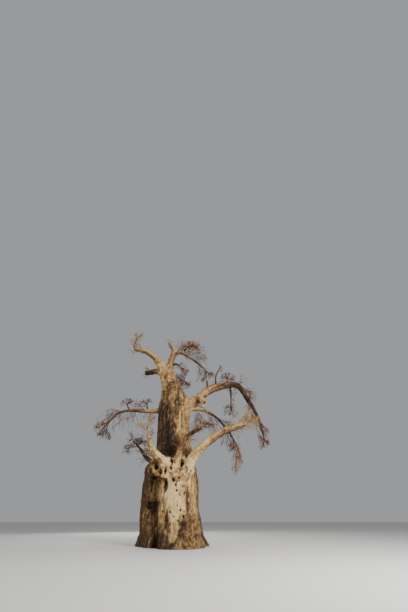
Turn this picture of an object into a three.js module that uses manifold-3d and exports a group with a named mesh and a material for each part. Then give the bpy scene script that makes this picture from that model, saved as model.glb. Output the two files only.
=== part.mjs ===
// A bare baobab tree rooted in the ground, in millimetres, with +Z up.
// The trunk is two fused stems on one flat cut at z = 0. Boughs leave it, and masses of bare twigs
// stand at the boughs' tips. Each of these is one closed solid, and they touch without overlapping.
import * as THREE from "three";
import { mergeVertices } from "three/addons/utils/BufferGeometryUtils.js";
import Module from "manifold-3d";

const wasm = await Module();
wasm.setup();

// Clearances
const SEAT_GAP = 0.3; // between a bough's tip and the stem of its twigs
const CUT_GAP = 0.8; // how far a solid is grown before it cuts its neighbour
const TWIG_CLEARANCE = 30; // a twig keeps this far from every limb's bark

// Trunk: stations give the height, the middle of the section, and its half width and half depth
const TALL_STEM = [
  { z: 0, x: -250, y: 550, wide: 1440, deep: 1330 },
  { z: 900, x: -390, y: 560, wide: 1370, deep: 1250 },
  { z: 1800, x: -450, y: 570, wide: 1330, deep: 1200 },
  { z: 2600, x: -450, y: 570, wide: 1310, deep: 1150 },
  { z: 3100, x: -430, y: 570, wide: 1190, deep: 1080 },
  { z: 3600, x: -370, y: 560, wide: 990, deep: 960 },
  { z: 4100, x: -350, y: 530, wide: 850, deep: 850 },
  { z: 5200, x: -415, y: 500, wide: 810, deep: 800 },
  { z: 6000, x: -420, y: 500, wide: 780, deep: 750 },
  { z: 6500, x: -430, y: 500, wide: 700, deep: 680 },
  { z: 7050, x: -540, y: 500, wide: 550, deep: 540 },
  { z: 7600, x: -720, y: 500, wide: 410, deep: 420 },
  { z: 8100, x: -900, y: 490, wide: 360, deep: 350 },
  { z: 8380, x: -960, y: 480, wide: 200, deep: 200 },
];
const FRONT_STEM = [
  { z: 0, x: 150, y: -480, wide: 980, deep: 920 },
  { z: 800, x: 60, y: -500, wide: 920, deep: 800 },
  { z: 1700, x: -120, y: -530, wide: 730, deep: 680 },
  { z: 2400, x: -120, y: -540, wide: 660, deep: 610 },
  { z: 2750, x: -90, y: -550, wide: 620, deep: 560 },
  { z: 2980, x: -80, y: -560, wide: 500, deep: 450 },
  { z: 3110, x: -80, y: -560, wide: 250, deep: 220 },
];
const TALL_SIDES = 46;
const FRONT_SIDES = 38;
const RING_RISE = 500; // height between two rings of a stem
const FLUTES = [
  { count: 3, size: 0.03, phase: 0.4, twist: 0.00012 },
  { count: 5, size: 0.022, phase: 1.9, twist: -0.0001 },
  { count: 8, size: 0.014, phase: 0.8, twist: 0.00005 },
];
const ROOT_FLARE = 0.07;
const ROOT_FLARE_HEIGHT = 330;
const ROOT_COUNT = 6;
// Furrows down the stems: where round the stem each starts, and how far it turns for each metre up,
// both in degrees; its foot and head; half its width in degrees; and its depth as a share of the section
const TALL_FURROWS = [
  { angle: -106, low: -300, high: 1900, width: 8, depth: 0.1, lean: 0 },
  { angle: -131, low: 900, high: 3300, width: 7.5, depth: 0.06, lean: 1 },
  { angle: -153, low: -300, high: 2900, width: 8, depth: 0.07, lean: 0 },
  { angle: -178, low: 300, high: 3400, width: 8, depth: 0.08, lean: -1.5 },
  { angle: -35, low: 200, high: 3200, width: 8, depth: 0.09, lean: 0 },
  { angle: 15, low: 200, high: 3200, width: 8, depth: 0.07, lean: 1 },
  { angle: 48, low: -300, high: 3600, width: 9, depth: 0.08, lean: -1.5 },
  { angle: 84, low: 300, high: 4600, width: 8, depth: 0.08, lean: 1.5 },
  { angle: 117, low: -300, high: 3400, width: 9, depth: 0.08, lean: 0.5 },
  { angle: 150, low: 400, high: 4000, width: 8, depth: 0.08, lean: -1 },
  { angle: -38, low: 3900, high: 6900, width: 8, depth: 0.08, lean: -1 },
  { angle: -75, low: 4600, high: 7600, width: 9, depth: 0.08, lean: 3 },
  { angle: -110, low: 3800, high: 6400, width: 9, depth: 0.08, lean: -2 },
  { angle: -150, low: 4000, high: 7000, width: 9, depth: 0.08, lean: 1 },
  { angle: 30, low: 4200, high: 6800, width: 9, depth: 0.08, lean: 1 },
  { angle: 70, low: 4600, high: 7000, width: 9, depth: 0.08, lean: -2 },
  { angle: 125, low: 4000, high: 6600, width: 9, depth: 0.08, lean: 1 },
];
const FRONT_FURROWS = [
  { angle: -12, low: 200, high: 2900, width: 8, depth: 0.07, lean: 1 },
  { angle: -40, low: -300, high: 1600, width: 8, depth: 0.06, lean: 3 },
  { angle: -140, low: 900, high: 2900, width: 8, depth: 0.05, lean: 2 },
  { angle: -160, low: -300, high: 1900, width: 8, depth: 0.06, lean: 0 },
];
const FURROW_FOOT = 250; // height over which a furrow deepens from its foot
const FURROW_HEAD = 350; // and over which it ends
const SHOULDER = 0.35; // a stem's last ring but one lies this share of a ring's rise below its top
// Swellings fused to the stems: a knob on the left shoulder, a rib down the right of the front, and
// knuckles below the front boughs
const SWELLINGS = [
  { path: [[-620, -150, 3020], [-880, -420, 3040], [-1080, -620, 2960]], base: 400, tip: 300 },
  { path: [[720, 0, 380], [640, 80, 1700], [560, 170, 3120]], base: 235, tip: 215 },
  { path: [[-540, -760, 2860], [-650, -850, 3030]], base: 190, tip: 190 },
  { path: [[430, -520, 2760], [500, -560, 2940]], base: 200, tip: 190 },
];
const DOME = [[0.4, 0.85], [0.65, 0.45]]; // a dome's rings: how far out and how wide, in radii
// A rounded hollow under a flat roof, in the tall stem's front, left of the front stem
const CAVITY = { at: [-1130, -550, 1660], half: [290, 360, 440], roof: 1680 };
const CAVITY_SIDES = 10;

// Boughs: each follows its points from inside its parent to its tip, and tapers from base to tip.
// A collar widens it where it leaves the parent. An arching bough is split in two at its crest.
const COLLAR = 0.28;
const COLLAR_LENGTH = 260;
const TAPER_POWER = 0.8; // below 1, a bough loses more of its thickness near its base
const RING_STEP = 420; // length between two rings of a bough
const THICK_SIDES = 8;
const THIN_SIDES = 6;
const THICK_FROM = 120; // boughs with a larger base radius get the larger number of sides
const BOUGHS = [
  {
    name: "bough_front_left", base: 235, tip: 92,
    path: [[-300, -640, 2960], [-880, -840, 3430], [-1200, -920, 3780], [-1448, -1000, 4443]],
  },
  {
    name: "bough_front_centre", base: 205, tip: 62,
    path: [[-110, -660, 2760], [46, -900, 3623], [430, -1100, 4334], [970, -1200, 4606]],
  },
  {
    name: "bough_front_right", base: 285, tip: 108,
    path: [
      [200, -430, 2480], [620, -700, 3360], [1159, -950, 3918], [1957, -1150, 4436],
      [3077, -1450, 4802],
    ],
  },
  {
    name: "bough_high_right", base: 320, tip: 48, split: 0.55, splitName: "bough_high_right_drooping",
    path: [
      [-150, 500, 5850], [690, 595, 6420], [1373, 750, 7041], [2054, 900, 7347],
      [3120, 1010, 7450], [3613, 1050, 6708], [4100, 950, 5750], [4320, 850, 4780],
    ],
  },
  {
    name: "stub_under_high_right", base: 165, tip: 132,
    path: [[860, 600, 6600], [1046, 120, 6431], [1205, -100, 6162]],
  },
  {
    name: "bough_middle_right", base: 112, tip: 42,
    path: [
      [0, 380, 5550], [620, 20, 5860], [1154, -200, 5774], [1868, -150, 5385],
      [2480, -50, 4660],
    ],
  },
  {
    name: "bough_long_left", base: 125, tip: 50,
    path: [
      [-900, 500, 5900], [-1900, 560, 5910], [-2889, 650, 5969], [-3368, 700, 5849],
      [-3700, 700, 5534],
    ],
  },
  {
    name: "bough_top_left", base: 255, tip: 95,
    path: [
      [-810, 470, 7650], [-1225, 355, 8370], [-1594, 200, 8813], [-2100, 0, 9090],
      [-2696, -250, 9169],
    ],
  },
  {
    name: "bough_top_centre", base: 250, tip: 58,
    path: [[-825, 500, 7851], [-656, 500, 9002], [-601, 500, 9445], [-880, 500, 9860]],
  },
  {
    name: "bough_top_arc", base: 125, tip: 36,
    path: [[-702, 500, 8754], [-300, 580, 9310], [261, 750, 9150], [1200, 940, 8480]],
  },
  {
    name: "spur_top_right", base: 62, tip: 46,
    path: [[-80, 640, 9280], [80, 690, 9560]],
  },
  {
    name: "bough_top_under", base: 64, tip: 38,
    path: [[-738, 450, 8428], [-387, 300, 8489], [-120, 220, 8300]],
  },
  {
    name: "stub_top_left", base: 190, tip: 130,
    path: [[-1005, 500, 8028], [-1493, 700, 8193], [-2150, 1000, 8214]],
  },
  {
    name: "spur_crest_outer", base: 60, tip: 26,
    path: [[1880, 880, 7340], [1897, 900, 7996], [2200, 900, 8600]],
  },
  {
    name: "spur_crest_inner", base: 68, tip: 48,
    path: [[1410, 760, 7080], [1375, 750, 7640]],
  },
  {
    name: "spur_crest_tip", base: 64, tip: 44,
    path: [[2480, 960, 7400], [2540, 980, 7720]],
  },
  {
    name: "bough_hanging", base: 58, tip: 40,
    path: [[2690, 1000, 7440], [2718, 1000, 6806], [2702, 1000, 6430]],
  },
  {
    name: "spur_long_left_inner", base: 48, tip: 36,
    path: [[-1800, 560, 5910], [-1860, 560, 6160]],
  },
  {
    name: "spur_long_left_outer", base: 46, tip: 34,
    path: [[-2800, 645, 5960], [-2920, 630, 6180]],
  },
  {
    name: "bough_back_left", base: 160, tip: 70,
    path: [[-1000, 800, 3250], [-1700, 1250, 3640], [-2200, 1500, 4180]],
  },
  {
    name: "bough_back_right", base: 200, tip: 85,
    path: [[-100, 900, 4450], [400, 1800, 4900], [900, 2700, 5600]],
  },
  {
    name: "bough_back_middle", base: 205, tip: 85,
    path: [[-500, 800, 5250], [-750, 1900, 5700], [-800, 2800, 6300]],
  },
  {
    name: "bough_back_top", base: 150, tip: 70,
    path: [[-600, 600, 6950], [-350, 1400, 7400], [-100, 2000, 8000]],
  },
];

// Masses of twigs, each on its bough's tip. middle is the middle of its space, and reach its half
// sizes. hang bends twigs down where it is above 0 and up where it is below.
const MASSES = [
  {
    name: "twigs_front_left", bough: "bough_front_left",
    middle: [-1500, -1000, 4900], reach: [640, 560, 650], hang: -0.25,
  },
  {
    name: "twigs_front_centre", bough: "bough_front_centre",
    middle: [1130, -1250, 4760], reach: [420, 400, 380], hang: 0.1,
  },
  {
    name: "twigs_front_right", bough: "bough_front_right",
    middle: [3440, -1430, 4960], reach: [560, 560, 560], hang: -0.1,
  },
  {
    name: "twigs_high_right", bough: "bough_high_right_drooping",
    middle: [4260, 850, 4480], reach: [400, 520, 560], hang: 0.5,
  },
  {
    name: "twigs_middle_right", bough: "bough_middle_right",
    middle: [2700, -50, 3700], reach: [420, 480, 1230], hang: 1,
  },
  {
    name: "twigs_long_left", bough: "bough_long_left",
    middle: [-4060, 700, 4990], reach: [600, 640, 660], hang: 0.7,
  },
  {
    name: "twigs_top_left", bough: "bough_top_left",
    middle: [-2580, -270, 9640], reach: [620, 600, 600], hang: -0.2,
  },
  {
    name: "twigs_top_centre", bough: "bough_top_centre",
    middle: [-930, 500, 9960], reach: [310, 310, 230], hang: 0,
  },
  {
    name: "twigs_top_right", bough: "spur_top_right",
    middle: [330, 750, 9670], reach: [760, 700, 620], hang: 0.1,
  },
  {
    name: "twigs_top_arc", bough: "bough_top_arc",
    middle: [1330, 1000, 8120], reach: [520, 560, 620], hang: 0.4,
  },
  {
    name: "twigs_top_under", bough: "bough_top_under",
    middle: [60, 150, 8140], reach: [380, 380, 320], hang: 0.2,
  },
  {
    name: "twigs_crest", bough: "spur_crest_tip",
    middle: [2640, 1000, 7900], reach: [600, 600, 320], hang: 0,
  },
  {
    name: "twigs_hanging", bough: "bough_hanging",
    middle: [2690, 1000, 6080], reach: [540, 540, 500], hang: 0.6,
  },
  {
    name: "twigs_long_left_inner", bough: "spur_long_left_inner",
    middle: [-1900, 560, 6330], reach: [480, 480, 310], hang: -0.2,
  },
  {
    name: "twigs_long_left_outer", bough: "spur_long_left_outer",
    middle: [-2980, 620, 6360], reach: [490, 480, 330], hang: -0.1,
  },
  {
    name: "twigs_back_left", bough: "bough_back_left",
    middle: [-2650, 1700, 4520], reach: [860, 800, 720], hang: 0.2,
  },
  {
    name: "twigs_back_right", bough: "bough_back_right",
    middle: [1100, 3080, 5850], reach: [850, 800, 700], hang: 0.1,
  },
  {
    name: "twigs_back_middle", bough: "bough_back_middle",
    middle: [-850, 3180, 6550], reach: [850, 800, 700], hang: 0.1,
  },
  {
    name: "twigs_back_top", bough: "bough_back_top",
    middle: [-40, 2300, 8260], reach: [760, 720, 620], hang: 0,
  },
];
const FIRST_SEED = 11; // each mass's seed is one more than the last's
const MAIN_TWIGS = 6;
const SIDE_TWIGS = [3, 0]; // children of a main twig, and of its children
const TWIG_JOINTS = [3, 1]; // straight lengths in a main twig, and in its children
const STEM_SIDES = 4;
const TWIG_SIDES = 3;
const STEM_RADIUS = 0.92; // as a share of its bough's tip
const STEM_KNEE = 0.35; // where the stem turns towards the middle, as a share of its length
const STEM_STIFFNESS = 0.3; // how far it keeps its bough's heading beyond the knee
const STEM_LENGTH = 0.45; // at least this share of the smallest reach
const STEM_TAPER = 0.45;
const TWIG_TAPER = 0.4;
const MAIN_TWIG_RADIUS = 22;
const MAIN_TWIG_SHARE = 0.75; // at most this share of the stem's radius there
const SIDE_TWIG_SHARE = 0.62; // a side twig's radius as a share of its parent's there
const MAIN_ROOTS = { first: 0.25, golden: 0.754878, offset: 0.4 }; // places along the stem
const AIMS = { turn: 2.399963, golden: 0.618034, offset: 0.31 }; // main twigs' headings
const SIDE_ROOTS = { first: 0.3, span: 0.6, golden: 0.618034, stray: 0.5 }; // places along the parent
const SIDE_LENGTH = { root: 0.62, loss: 0.3, least: 0.8, spread: 0.4 }; // shares of the parent's
const SIDE_AHEAD = 0.55; // how far a side twig first follows its parent
const SIDE_TURN = 0.5; // how far it turns back to its parent's heading
const BOW = 0.18; // how far hang lifts a twig's knee, as a share of its length
const DROOP = 0.35; // how far hang lowers a side twig's end, as a share of its length
const SIDE_DROOP = 0.25; // how far hang turns a side twig down where it starts
const CROOK = 0.14; // how far a twig's joints stray, as a share of its length
const END_CROOK = 0.3; // how much less its end strays
const FILL = { most: 0.94, spread: 0.12 }; // main twigs end at these shares of the mass's reach
const SHORTENED = [1, 0.62]; // lengths tried before a twig is skipped
const PROBES = [0.25, 0.5, 0.75, 1]; // places along a straight length that are tested
const SPACE_MARGIN = 0.06; // neighbouring masses stay apart by this share of their reach
const SPHERE_STEP = 60; // length between the spheres that stand for a limb when twigs are tested
const FLUTE_ALLOWANCE = 1.12; // stems are tested as ellipses this much larger

const LOOKS = {
  trunk: { color: 0xc2a67e, roughness: 0.85 },
  bough: { color: 0xb8935f, roughness: 0.85 },
  twig: { color: 0x6e4a33, roughness: 0.9 },
};

// The number stream that every seeded choice comes from
function stream(seed) {
  let state = seed >>> 0;
  const next = () => {
    state = (Math.imul(state, 1664525) + 1013904223) >>> 0;
    return state / 4294967296;
  };
  next();
  next();
  return next;
}

function childSeed(seed, index) {
  return (Math.imul(seed, 31) + Math.imul(index + 1, 2654435761)) >>> 0;
}

function vector(point) {
  return new THREE.Vector3(...point);
}

// A closed surface over rings of equal length, from the first to the last
function skin(rings) {
  const sides = rings[0].length;
  const index = [];
  for (let i = 0; i + 1 < rings.length; i++)
    for (let j = 0; j < sides; j++) {
      const a = i * sides + j;
      const b = i * sides + ((j + 1) % sides);
      index.push(a, b, b + sides, a, b + sides, a + sides);
    }
  const last = (rings.length - 1) * sides;
  for (let j = 1; j + 1 < sides; j++) {
    index.push(0, j + 1, j);
    index.push(last, last + j, last + j + 1);
  }
  return new THREE.BufferGeometry().setFromPoints(rings.flat()).setIndex(index);
}

function middleOf(ring) {
  return ring.reduce((sum, point) => sum.add(point), new THREE.Vector3()).divideScalar(ring.length);
}

// The same rings made wider, with the two end ones also moved outwards
function grown(rings, by) {
  const middles = rings.map(middleOf);
  const last = rings.length - 1;
  return rings.map((ring, i) => {
    const out = new THREE.Vector3();
    if (i === 0) out.subVectors(middles[0], middles[1]).setLength(by);
    if (i === last) out.subVectors(middles[last], middles[last - 1]).setLength(by);
    return ring.map((point) => {
      const away = point.clone().sub(middles[i]).setLength(by);
      return point.clone().add(away).add(out);
    });
  });
}

function solidOf(geometry) {
  const bare = geometry.clone();
  bare.deleteAttribute("normal");
  bare.deleteAttribute("uv");
  const merged = mergeVertices(bare, 1e-3);
  return new wasm.Manifold(
    new wasm.Mesh({
      numProp: 3,
      vertProperties: merged.attributes.position.array,
      triVerts: new Uint32Array(merged.index.array),
    }),
  );
}

function geometryOf(solid) {
  const { vertProperties, triVerts } = solid.getMesh();
  return new THREE.BufferGeometry()
    .setAttribute("position", new THREE.BufferAttribute(vertProperties, 3))
    .setIndex(new THREE.BufferAttribute(triVerts, 1));
}

// A boolean can leave scraps beside the wanted body
function largestBody(solid) {
  return solid.decompose().reduce((best, body) => (body.volume() > best.volume() ? body : best));
}

// One stem's section at a height, from the smooth curve through its stations
function stemSection(stations, z) {
  const last = stations.length - 1;
  const above = stations.findIndex((station) => station.z >= z);
  const i = Math.min(Math.max(above, 1), last);
  const [p0, p1, p2, p3] = [i - 2, i - 1, i, i + 1].map((k) => stations[Math.min(Math.max(k, 0), last)]);
  const t = (z - p1.z) / (p2.z - p1.z);
  const rise = p2.z - p1.z;
  const blend = (key) => {
    const slope1 = ((p2[key] - p0[key]) / (p2.z - p0.z)) * rise;
    const slope2 = ((p3[key] - p1[key]) / (p3.z - p1.z)) * rise;
    const ease = t * t * (3 - 2 * t);
    const bend = t * (1 - t) * ((1 - t) * slope1 - t * slope2);
    return p1[key] * (1 - ease) + p2[key] * ease + bend;
  };
  return { x: blend("x"), y: blend("y"), wide: blend("wide"), deep: blend("deep") };
}

// How far the bark stands out at an angle and a height, as a share of the plain ellipse
function fluting(angle, z) {
  const wave = ({ count, size, phase, twist }) => size * Math.cos(count * angle + phase + twist * z);
  const flutes = FLUTES.reduce((sum, flute) => sum + wave(flute), 0);
  const roots = ROOT_FLARE * Math.exp(-z / ROOT_FLARE_HEIGHT) * (1 + Math.cos(ROOT_COUNT * angle));
  return 1 + flutes + roots;
}

// How far the furrows go in at an angle and a height, as a share of the plain ellipse
function furrowing(furrows, angle, z) {
  const { degToRad, smoothstep } = THREE.MathUtils;
  return furrows.reduce((sum, furrow) => {
    const middle = degToRad(furrow.angle + (furrow.lean * (z - furrow.low)) / 1000);
    const apart = Math.atan2(Math.sin(angle - middle), Math.cos(angle - middle));
    const begun = smoothstep(z, furrow.low, furrow.low + FURROW_FOOT);
    const ended = smoothstep(z, furrow.high - FURROW_HEAD, furrow.high);
    const fall = Math.exp(-((apart / degToRad(furrow.width)) ** 2));
    return sum + furrow.depth * begun * (1 - ended) * fall;
  }, 0);
}

function stemRings(stations, furrows, sides) {
  const top = stations.at(-1).z;
  const steps = Math.round(top / RING_RISE);
  const heights = Array.from({ length: steps + 1 }, (_, i) => (i / steps) * top);
  heights.splice(steps, 0, top - RING_RISE * SHOULDER);
  return heights.map((z) => {
    const s = stemSection(stations, z);
    return Array.from({ length: sides }, (_, j) => {
      const angle = (j / sides) * 2 * Math.PI;
      const out = fluting(angle, z) - furrowing(furrows, angle, z);
      return new THREE.Vector3(s.x + s.wide * out * Math.cos(angle), s.y + s.deep * out * Math.sin(angle), z);
    });
  });
}

// A limb is a curve and a radius along it
function limb({ path, base, tip }) {
  const curve = new THREE.CatmullRomCurve3(path.map(vector), false, "centripetal");
  const length = curve.getLength();
  const radius = (u) => {
    const taper = base + (tip - base) * u ** TAPER_POWER;
    return taper * (1 + COLLAR * Math.exp((-u * length) / COLLAR_LENGTH));
  };
  const steps = Math.max(2, Math.round(length / RING_STEP));
  const sides = base > THICK_FROM ? THICK_SIDES : THIN_SIDES;
  return { curve, length, radius, steps, first: 0, last: steps, sides };
}

// An arching limb in two, at the ring nearest to a share of its length
function splitLimb(shape, share) {
  const crest = Math.round(share * shape.steps);
  return [{ ...shape, last: crest }, { ...shape, first: crest }];
}

function limbRings({ curve, radius, steps, first, last, sides }) {
  const frames = curve.computeFrenetFrames(steps, false);
  const rings = [];
  for (let i = first; i <= last; i++) {
    const middle = curve.getPointAt(i / steps);
    if (first > 0 && i === first) middle.addScaledVector(frames.tangents[i], SEAT_GAP);
    rings.push(ringAround(middle, frames.normals[i], frames.binormals[i], radius(i / steps), sides));
  }
  return rings;
}

// A limb whose two ends are closed by smaller rings, so that they look rounded
function domedRings(shape) {
  const rings = limbRings(shape);
  const dome = (ring, heading) => {
    const middle = middleOf(ring);
    const radius = middle.distanceTo(ring[0]);
    return DOME.map(([out, size]) => {
      const top = middle.clone().addScaledVector(heading, out * radius);
      return ring.map((point) => point.clone().sub(middle).multiplyScalar(size).add(top));
    });
  };
  const start = dome(rings[0], shape.curve.getTangentAt(0).negate()).reverse();
  const end = dome(rings.at(-1), shape.curve.getTangentAt(1));
  return [...start, ...rings, ...end];
}

function ringAround(middle, across, up, radius, sides) {
  return Array.from({ length: sides }, (_, j) => {
    const angle = (j / sides) * 2 * Math.PI;
    return middle
      .clone()
      .addScaledVector(across, radius * Math.cos(angle))
      .addScaledVector(up, radius * Math.sin(angle));
  });
}

// Core solids and the same solids grown by the cutting gap
function pair(rings) {
  return { core: solidOf(skin(rings)), fat: solidOf(skin(grown(rings, CUT_GAP))) };
}

function makeTrunk() {
  const rings = [
    stemRings(TALL_STEM, TALL_FURROWS, TALL_SIDES),
    stemRings(FRONT_STEM, FRONT_FURROWS, FRONT_SIDES),
  ];
  for (const swelling of SWELLINGS) rings.push(domedRings(limb(swelling)));
  const stems = rings.map(pair);
  const ball = new THREE.SphereGeometry(1, CAVITY_SIDES, CAVITY_SIDES / 2);
  const hollow = solidOf(ball.scale(...CAVITY.half).translate(...CAVITY.at));
  return {
    core: wasm.Manifold.union(stems.map((stem) => stem.core)).subtract(
      hollow.trimByPlane([0, 0, -1], -CAVITY.roof),
    ),
    fat: wasm.Manifold.union(stems.map((stem) => stem.fat)),
  };
}

// Every limb's middle line as spheres, which twigs keep clear of
const limbSpheres = [];

function noteLimb(shape, owner) {
  const from = shape.first / shape.steps;
  const span = shape.last / shape.steps - from;
  const spheres = Math.ceil((shape.length * span) / SPHERE_STEP);
  for (let i = 0; i <= spheres; i++) {
    const u = from + (span * i) / spheres;
    limbSpheres.push({ owner, middle: shape.curve.getPointAt(u), radius: shape.radius(u) });
  }
}

function touchesStem(stations, point, margin) {
  if (point.z > stations.at(-1).z) return false;
  const { x, y, wide, deep } = stemSection(stations, point.z);
  const across = (point.x - x) / (wide * FLUTE_ALLOWANCE + margin);
  const along = (point.y - y) / (deep * FLUTE_ALLOWANCE + margin);
  return Math.hypot(across, along) < 1;
}

function touchesLimb(point, radius, owner) {
  const margin = radius + TWIG_CLEARANCE;
  return (
    touchesStem(TALL_STEM, point, margin) ||
    touchesStem(FRONT_STEM, point, margin) ||
    limbSpheres.some((s) => s.owner !== owner && s.middle.distanceTo(point) < s.radius + margin)
  );
}

function makeBoughs(trunk) {
  const shapes = {};
  const made = [];
  for (const bough of BOUGHS) {
    const whole = limb(bough);
    const parts = bough.split ? splitLimb(whole, bough.split) : [whole];
    parts.forEach((shape, i) => {
      const name = i ? bough.splitName : bough.name;
      const { core, fat } = pair(limbRings(shape));
      const earlier = made.filter((limb) => limb.name !== bough.name).map((limb) => limb.fat);
      const cut = core.subtract(wasm.Manifold.union([trunk.fat, ...earlier]));
      made.push({ name, core: largestBody(cut), fat });
      shapes[name] = shape;
      noteLimb(shape, name);
    });
  }
  return { made, shapes };
}

// The seeded rule that a mass's twigs follow
class Mass {
  constructor({ name, bough, middle, reach, hang }, seed, shape) {
    this.name = name;
    this.owner = bough;
    this.hang = hang;
    this.seed = seed;
    this.reach = vector(reach);
    this.middle = vector(middle);
    this.heading = shape.curve.getTangentAt(1);
    this.root = shape.curve.getPointAt(1).addScaledVector(this.heading, SEAT_GAP);
    this.stemRadius = shape.radius(1) * STEM_RADIUS;
    this.twigs = [];
  }

  // How far out a point lies, where 1 is the edge of the mass's space
  depthOf(point) {
    return point.clone().sub(this.middle).divide(this.reach).length();
  }

  holds(point) {
    const own = this.depthOf(point);
    return own <= 1 && this.others.every((other) => other.depthOf(point) > own + SPACE_MARGIN);
  }

  // The stem bends from its bough's heading towards the middle of the mass
  growStem() {
    const least = STEM_LENGTH * Math.min(this.reach.x, this.reach.y, this.reach.z);
    const length = Math.max(this.middle.distanceTo(this.root), least);
    const aim = this.middle.clone().sub(this.root).normalize().lerp(this.heading, STEM_STIFFNESS).normalize();
    const knee = this.root.clone().addScaledVector(this.heading, length * STEM_KNEE);
    const end = knee.clone().addScaledVector(aim, length * (1 - STEM_KNEE));
    this.stem = new THREE.QuadraticBezierCurve3(this.root, knee, end);
  }

  // Main twig number k runs from the stem to a point near the edge of the mass's space
  growMain(k) {
    const seed = childSeed(this.seed, k);
    const random = stream(seed);
    const turn = k * AIMS.turn + this.seed;
    const height = 1 - 2 * ((k * AIMS.golden + AIMS.offset) % 1);
    const flat = Math.sqrt(1 - height * height);
    const out = new THREE.Vector3(flat * Math.cos(turn), flat * Math.sin(turn), height).multiply(this.reach);
    const place = (k * MAIN_ROOTS.golden + MAIN_ROOTS.offset) % 1;
    const share = MAIN_ROOTS.first + (1 - MAIN_ROOTS.first) * place;
    const start = this.stem.getPoint(share);
    const target = this.middle.clone().addScaledVector(out, FILL.most - FILL.spread * random());
    const span = target.clone().sub(start);
    const length = span.length();
    const heading = this.stem.getTangent(share).add(span.normalize()).normalize();
    const thickness = this.stemRadius * (1 - (1 - STEM_TAPER) * share) * MAIN_TWIG_SHARE;
    const radius = Math.min(MAIN_TWIG_RADIUS, thickness);
    this.growTwig({ seed, random, start, heading, target, length, radius, level: 0 });
  }

  // A twig bows from its first heading to its target. It is tried shorter before it is skipped.
  growTwig({ seed, random, start, heading, target, length, radius, level }) {
    const joints = TWIG_JOINTS[level];
    const strayed = () => vector([random() - 0.5, random() - 0.5, random() - 0.5]);
    const stray = Array.from({ length: joints }, strayed);
    stray[joints - 1].multiplyScalar(END_CROOK);
    for (const share of SHORTENED) {
      const size = length * share;
      const knee = start.clone().addScaledVector(heading, size / 2);
      knee.z += this.hang * size * BOW;
      const curve = new THREE.QuadraticBezierCurve3(start, knee, start.clone().lerp(target, share));
      const joint = (i) => curve.getPoint((i + 1) / joints).addScaledVector(stray[i], CROOK * size);
      const points = [start, ...stray.map((_, i) => joint(i))];
      if (this.isFree(points, radius)) {
        this.twigs.push({ points, radius });
        this.growSides({ seed, points, radius, length: size, level });
        return;
      }
    }
  }

  growSides({ seed, points, radius, length, level }) {
    for (let j = 0; j < SIDE_TWIGS[level]; j++) {
      const own = childSeed(seed, j);
      const random = stream(own);
      const place = (j * SIDE_ROOTS.golden + random() * SIDE_ROOTS.stray) % 1;
      const along = SIDE_ROOTS.first + SIDE_ROOTS.span * place;
      const i = Math.min(Math.floor(along * (points.length - 1)), points.length - 2);
      const start = points[i].clone().lerp(points[i + 1], along * (points.length - 1) - i);
      const ahead = points[i + 1].clone().sub(points[i]).normalize();
      const aside = vector([random() - 0.5, random() - 0.5, random() - 0.5 - this.hang * SIDE_DROOP]);
      aside.addScaledVector(ahead, -aside.dot(ahead)).normalize();
      const heading = aside.addScaledVector(ahead, SIDE_AHEAD).normalize();
      const chance = SIDE_LENGTH.least + SIDE_LENGTH.spread * random();
      const share = (SIDE_LENGTH.root - SIDE_LENGTH.loss * along) * chance;
      const span = heading.clone().addScaledVector(ahead, SIDE_TURN).setLength(length * share);
      span.z -= this.hang * length * share * DROOP;
      this.growTwig({
        seed: own,
        random,
        start,
        heading,
        target: start.clone().add(span),
        length: span.length(),
        radius: radius * (1 - (1 - TWIG_TAPER) * along) * SIDE_TWIG_SHARE,
        level: level + 1,
      });
    }
  }

  // A twig is free if all of it past its root is inside the mass and clear of every limb
  isFree(points, radius) {
    for (let i = 1; i < points.length; i++)
      for (const share of PROBES) {
        const point = points[i - 1].clone().lerp(points[i], share);
        const nearRoot = i === 1 && share === PROBES[0];
        if (touchesLimb(point, radius, nearRoot ? this.owner : null)) return false;
        if (!nearRoot && !this.holds(point)) return false;
      }
    return true;
  }

  solid(masses, bough) {
    this.others = masses.filter((mass) => mass !== this);
    this.growStem();
    for (let k = 0; k < MAIN_TWIGS; k++) this.growMain(k);
    const stem = tapered(this.stem.getPoints(3), this.stemRadius, STEM_TAPER, STEM_SIDES, this.heading);
    const twigs = this.twigs.map(({ points, radius }) =>
      points.length > 2 ? tapered(points, radius, TWIG_TAPER, TWIG_SIDES) : spike(points, radius),
    );
    return largestBody(wasm.Manifold.union([stem, ...twigs]).subtract(bough.fat));
  }
}

// A tapered prism along straight lengths, whose first face is square to a given heading
function tapered(points, radius, taper, sides, heading) {
  const across = new THREE.Vector3();
  const rings = points.map((point, i) => {
    const before = points[Math.max(i - 1, 0)];
    const after = points[Math.min(i + 1, points.length - 1)];
    const ahead = i === 0 && heading ? heading.clone() : after.clone().sub(before).normalize();
    if (i === 0) across.set(0, 0, 1).cross(ahead);
    if (across.lengthSq() < 1e-6) across.set(1, 0, 0);
    across.addScaledVector(ahead, -across.dot(ahead)).normalize();
    const size = radius * (1 - ((1 - taper) * i) / (points.length - 1));
    return ringAround(point, across, ahead.clone().cross(across), size, sides);
  });
  return solidOf(skin(rings));
}

// A straight twig that ends in a point
function spike([start, end], radius) {
  const ahead = end.clone().sub(start).normalize();
  const across = new THREE.Vector3(0, 0, 1).cross(ahead).normalize();
  const ring = ringAround(start, across, ahead.clone().cross(across), radius, TWIG_SIDES);
  return wasm.Manifold.hull([...ring, end].map((point) => point.toArray()));
}

function namedMesh(name, solid, look) {
  const mesh = new THREE.Mesh(geometryOf(solid), new THREE.MeshStandardMaterial({ ...look, metalness: 0 }));
  mesh.name = name;
  return mesh;
}

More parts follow.
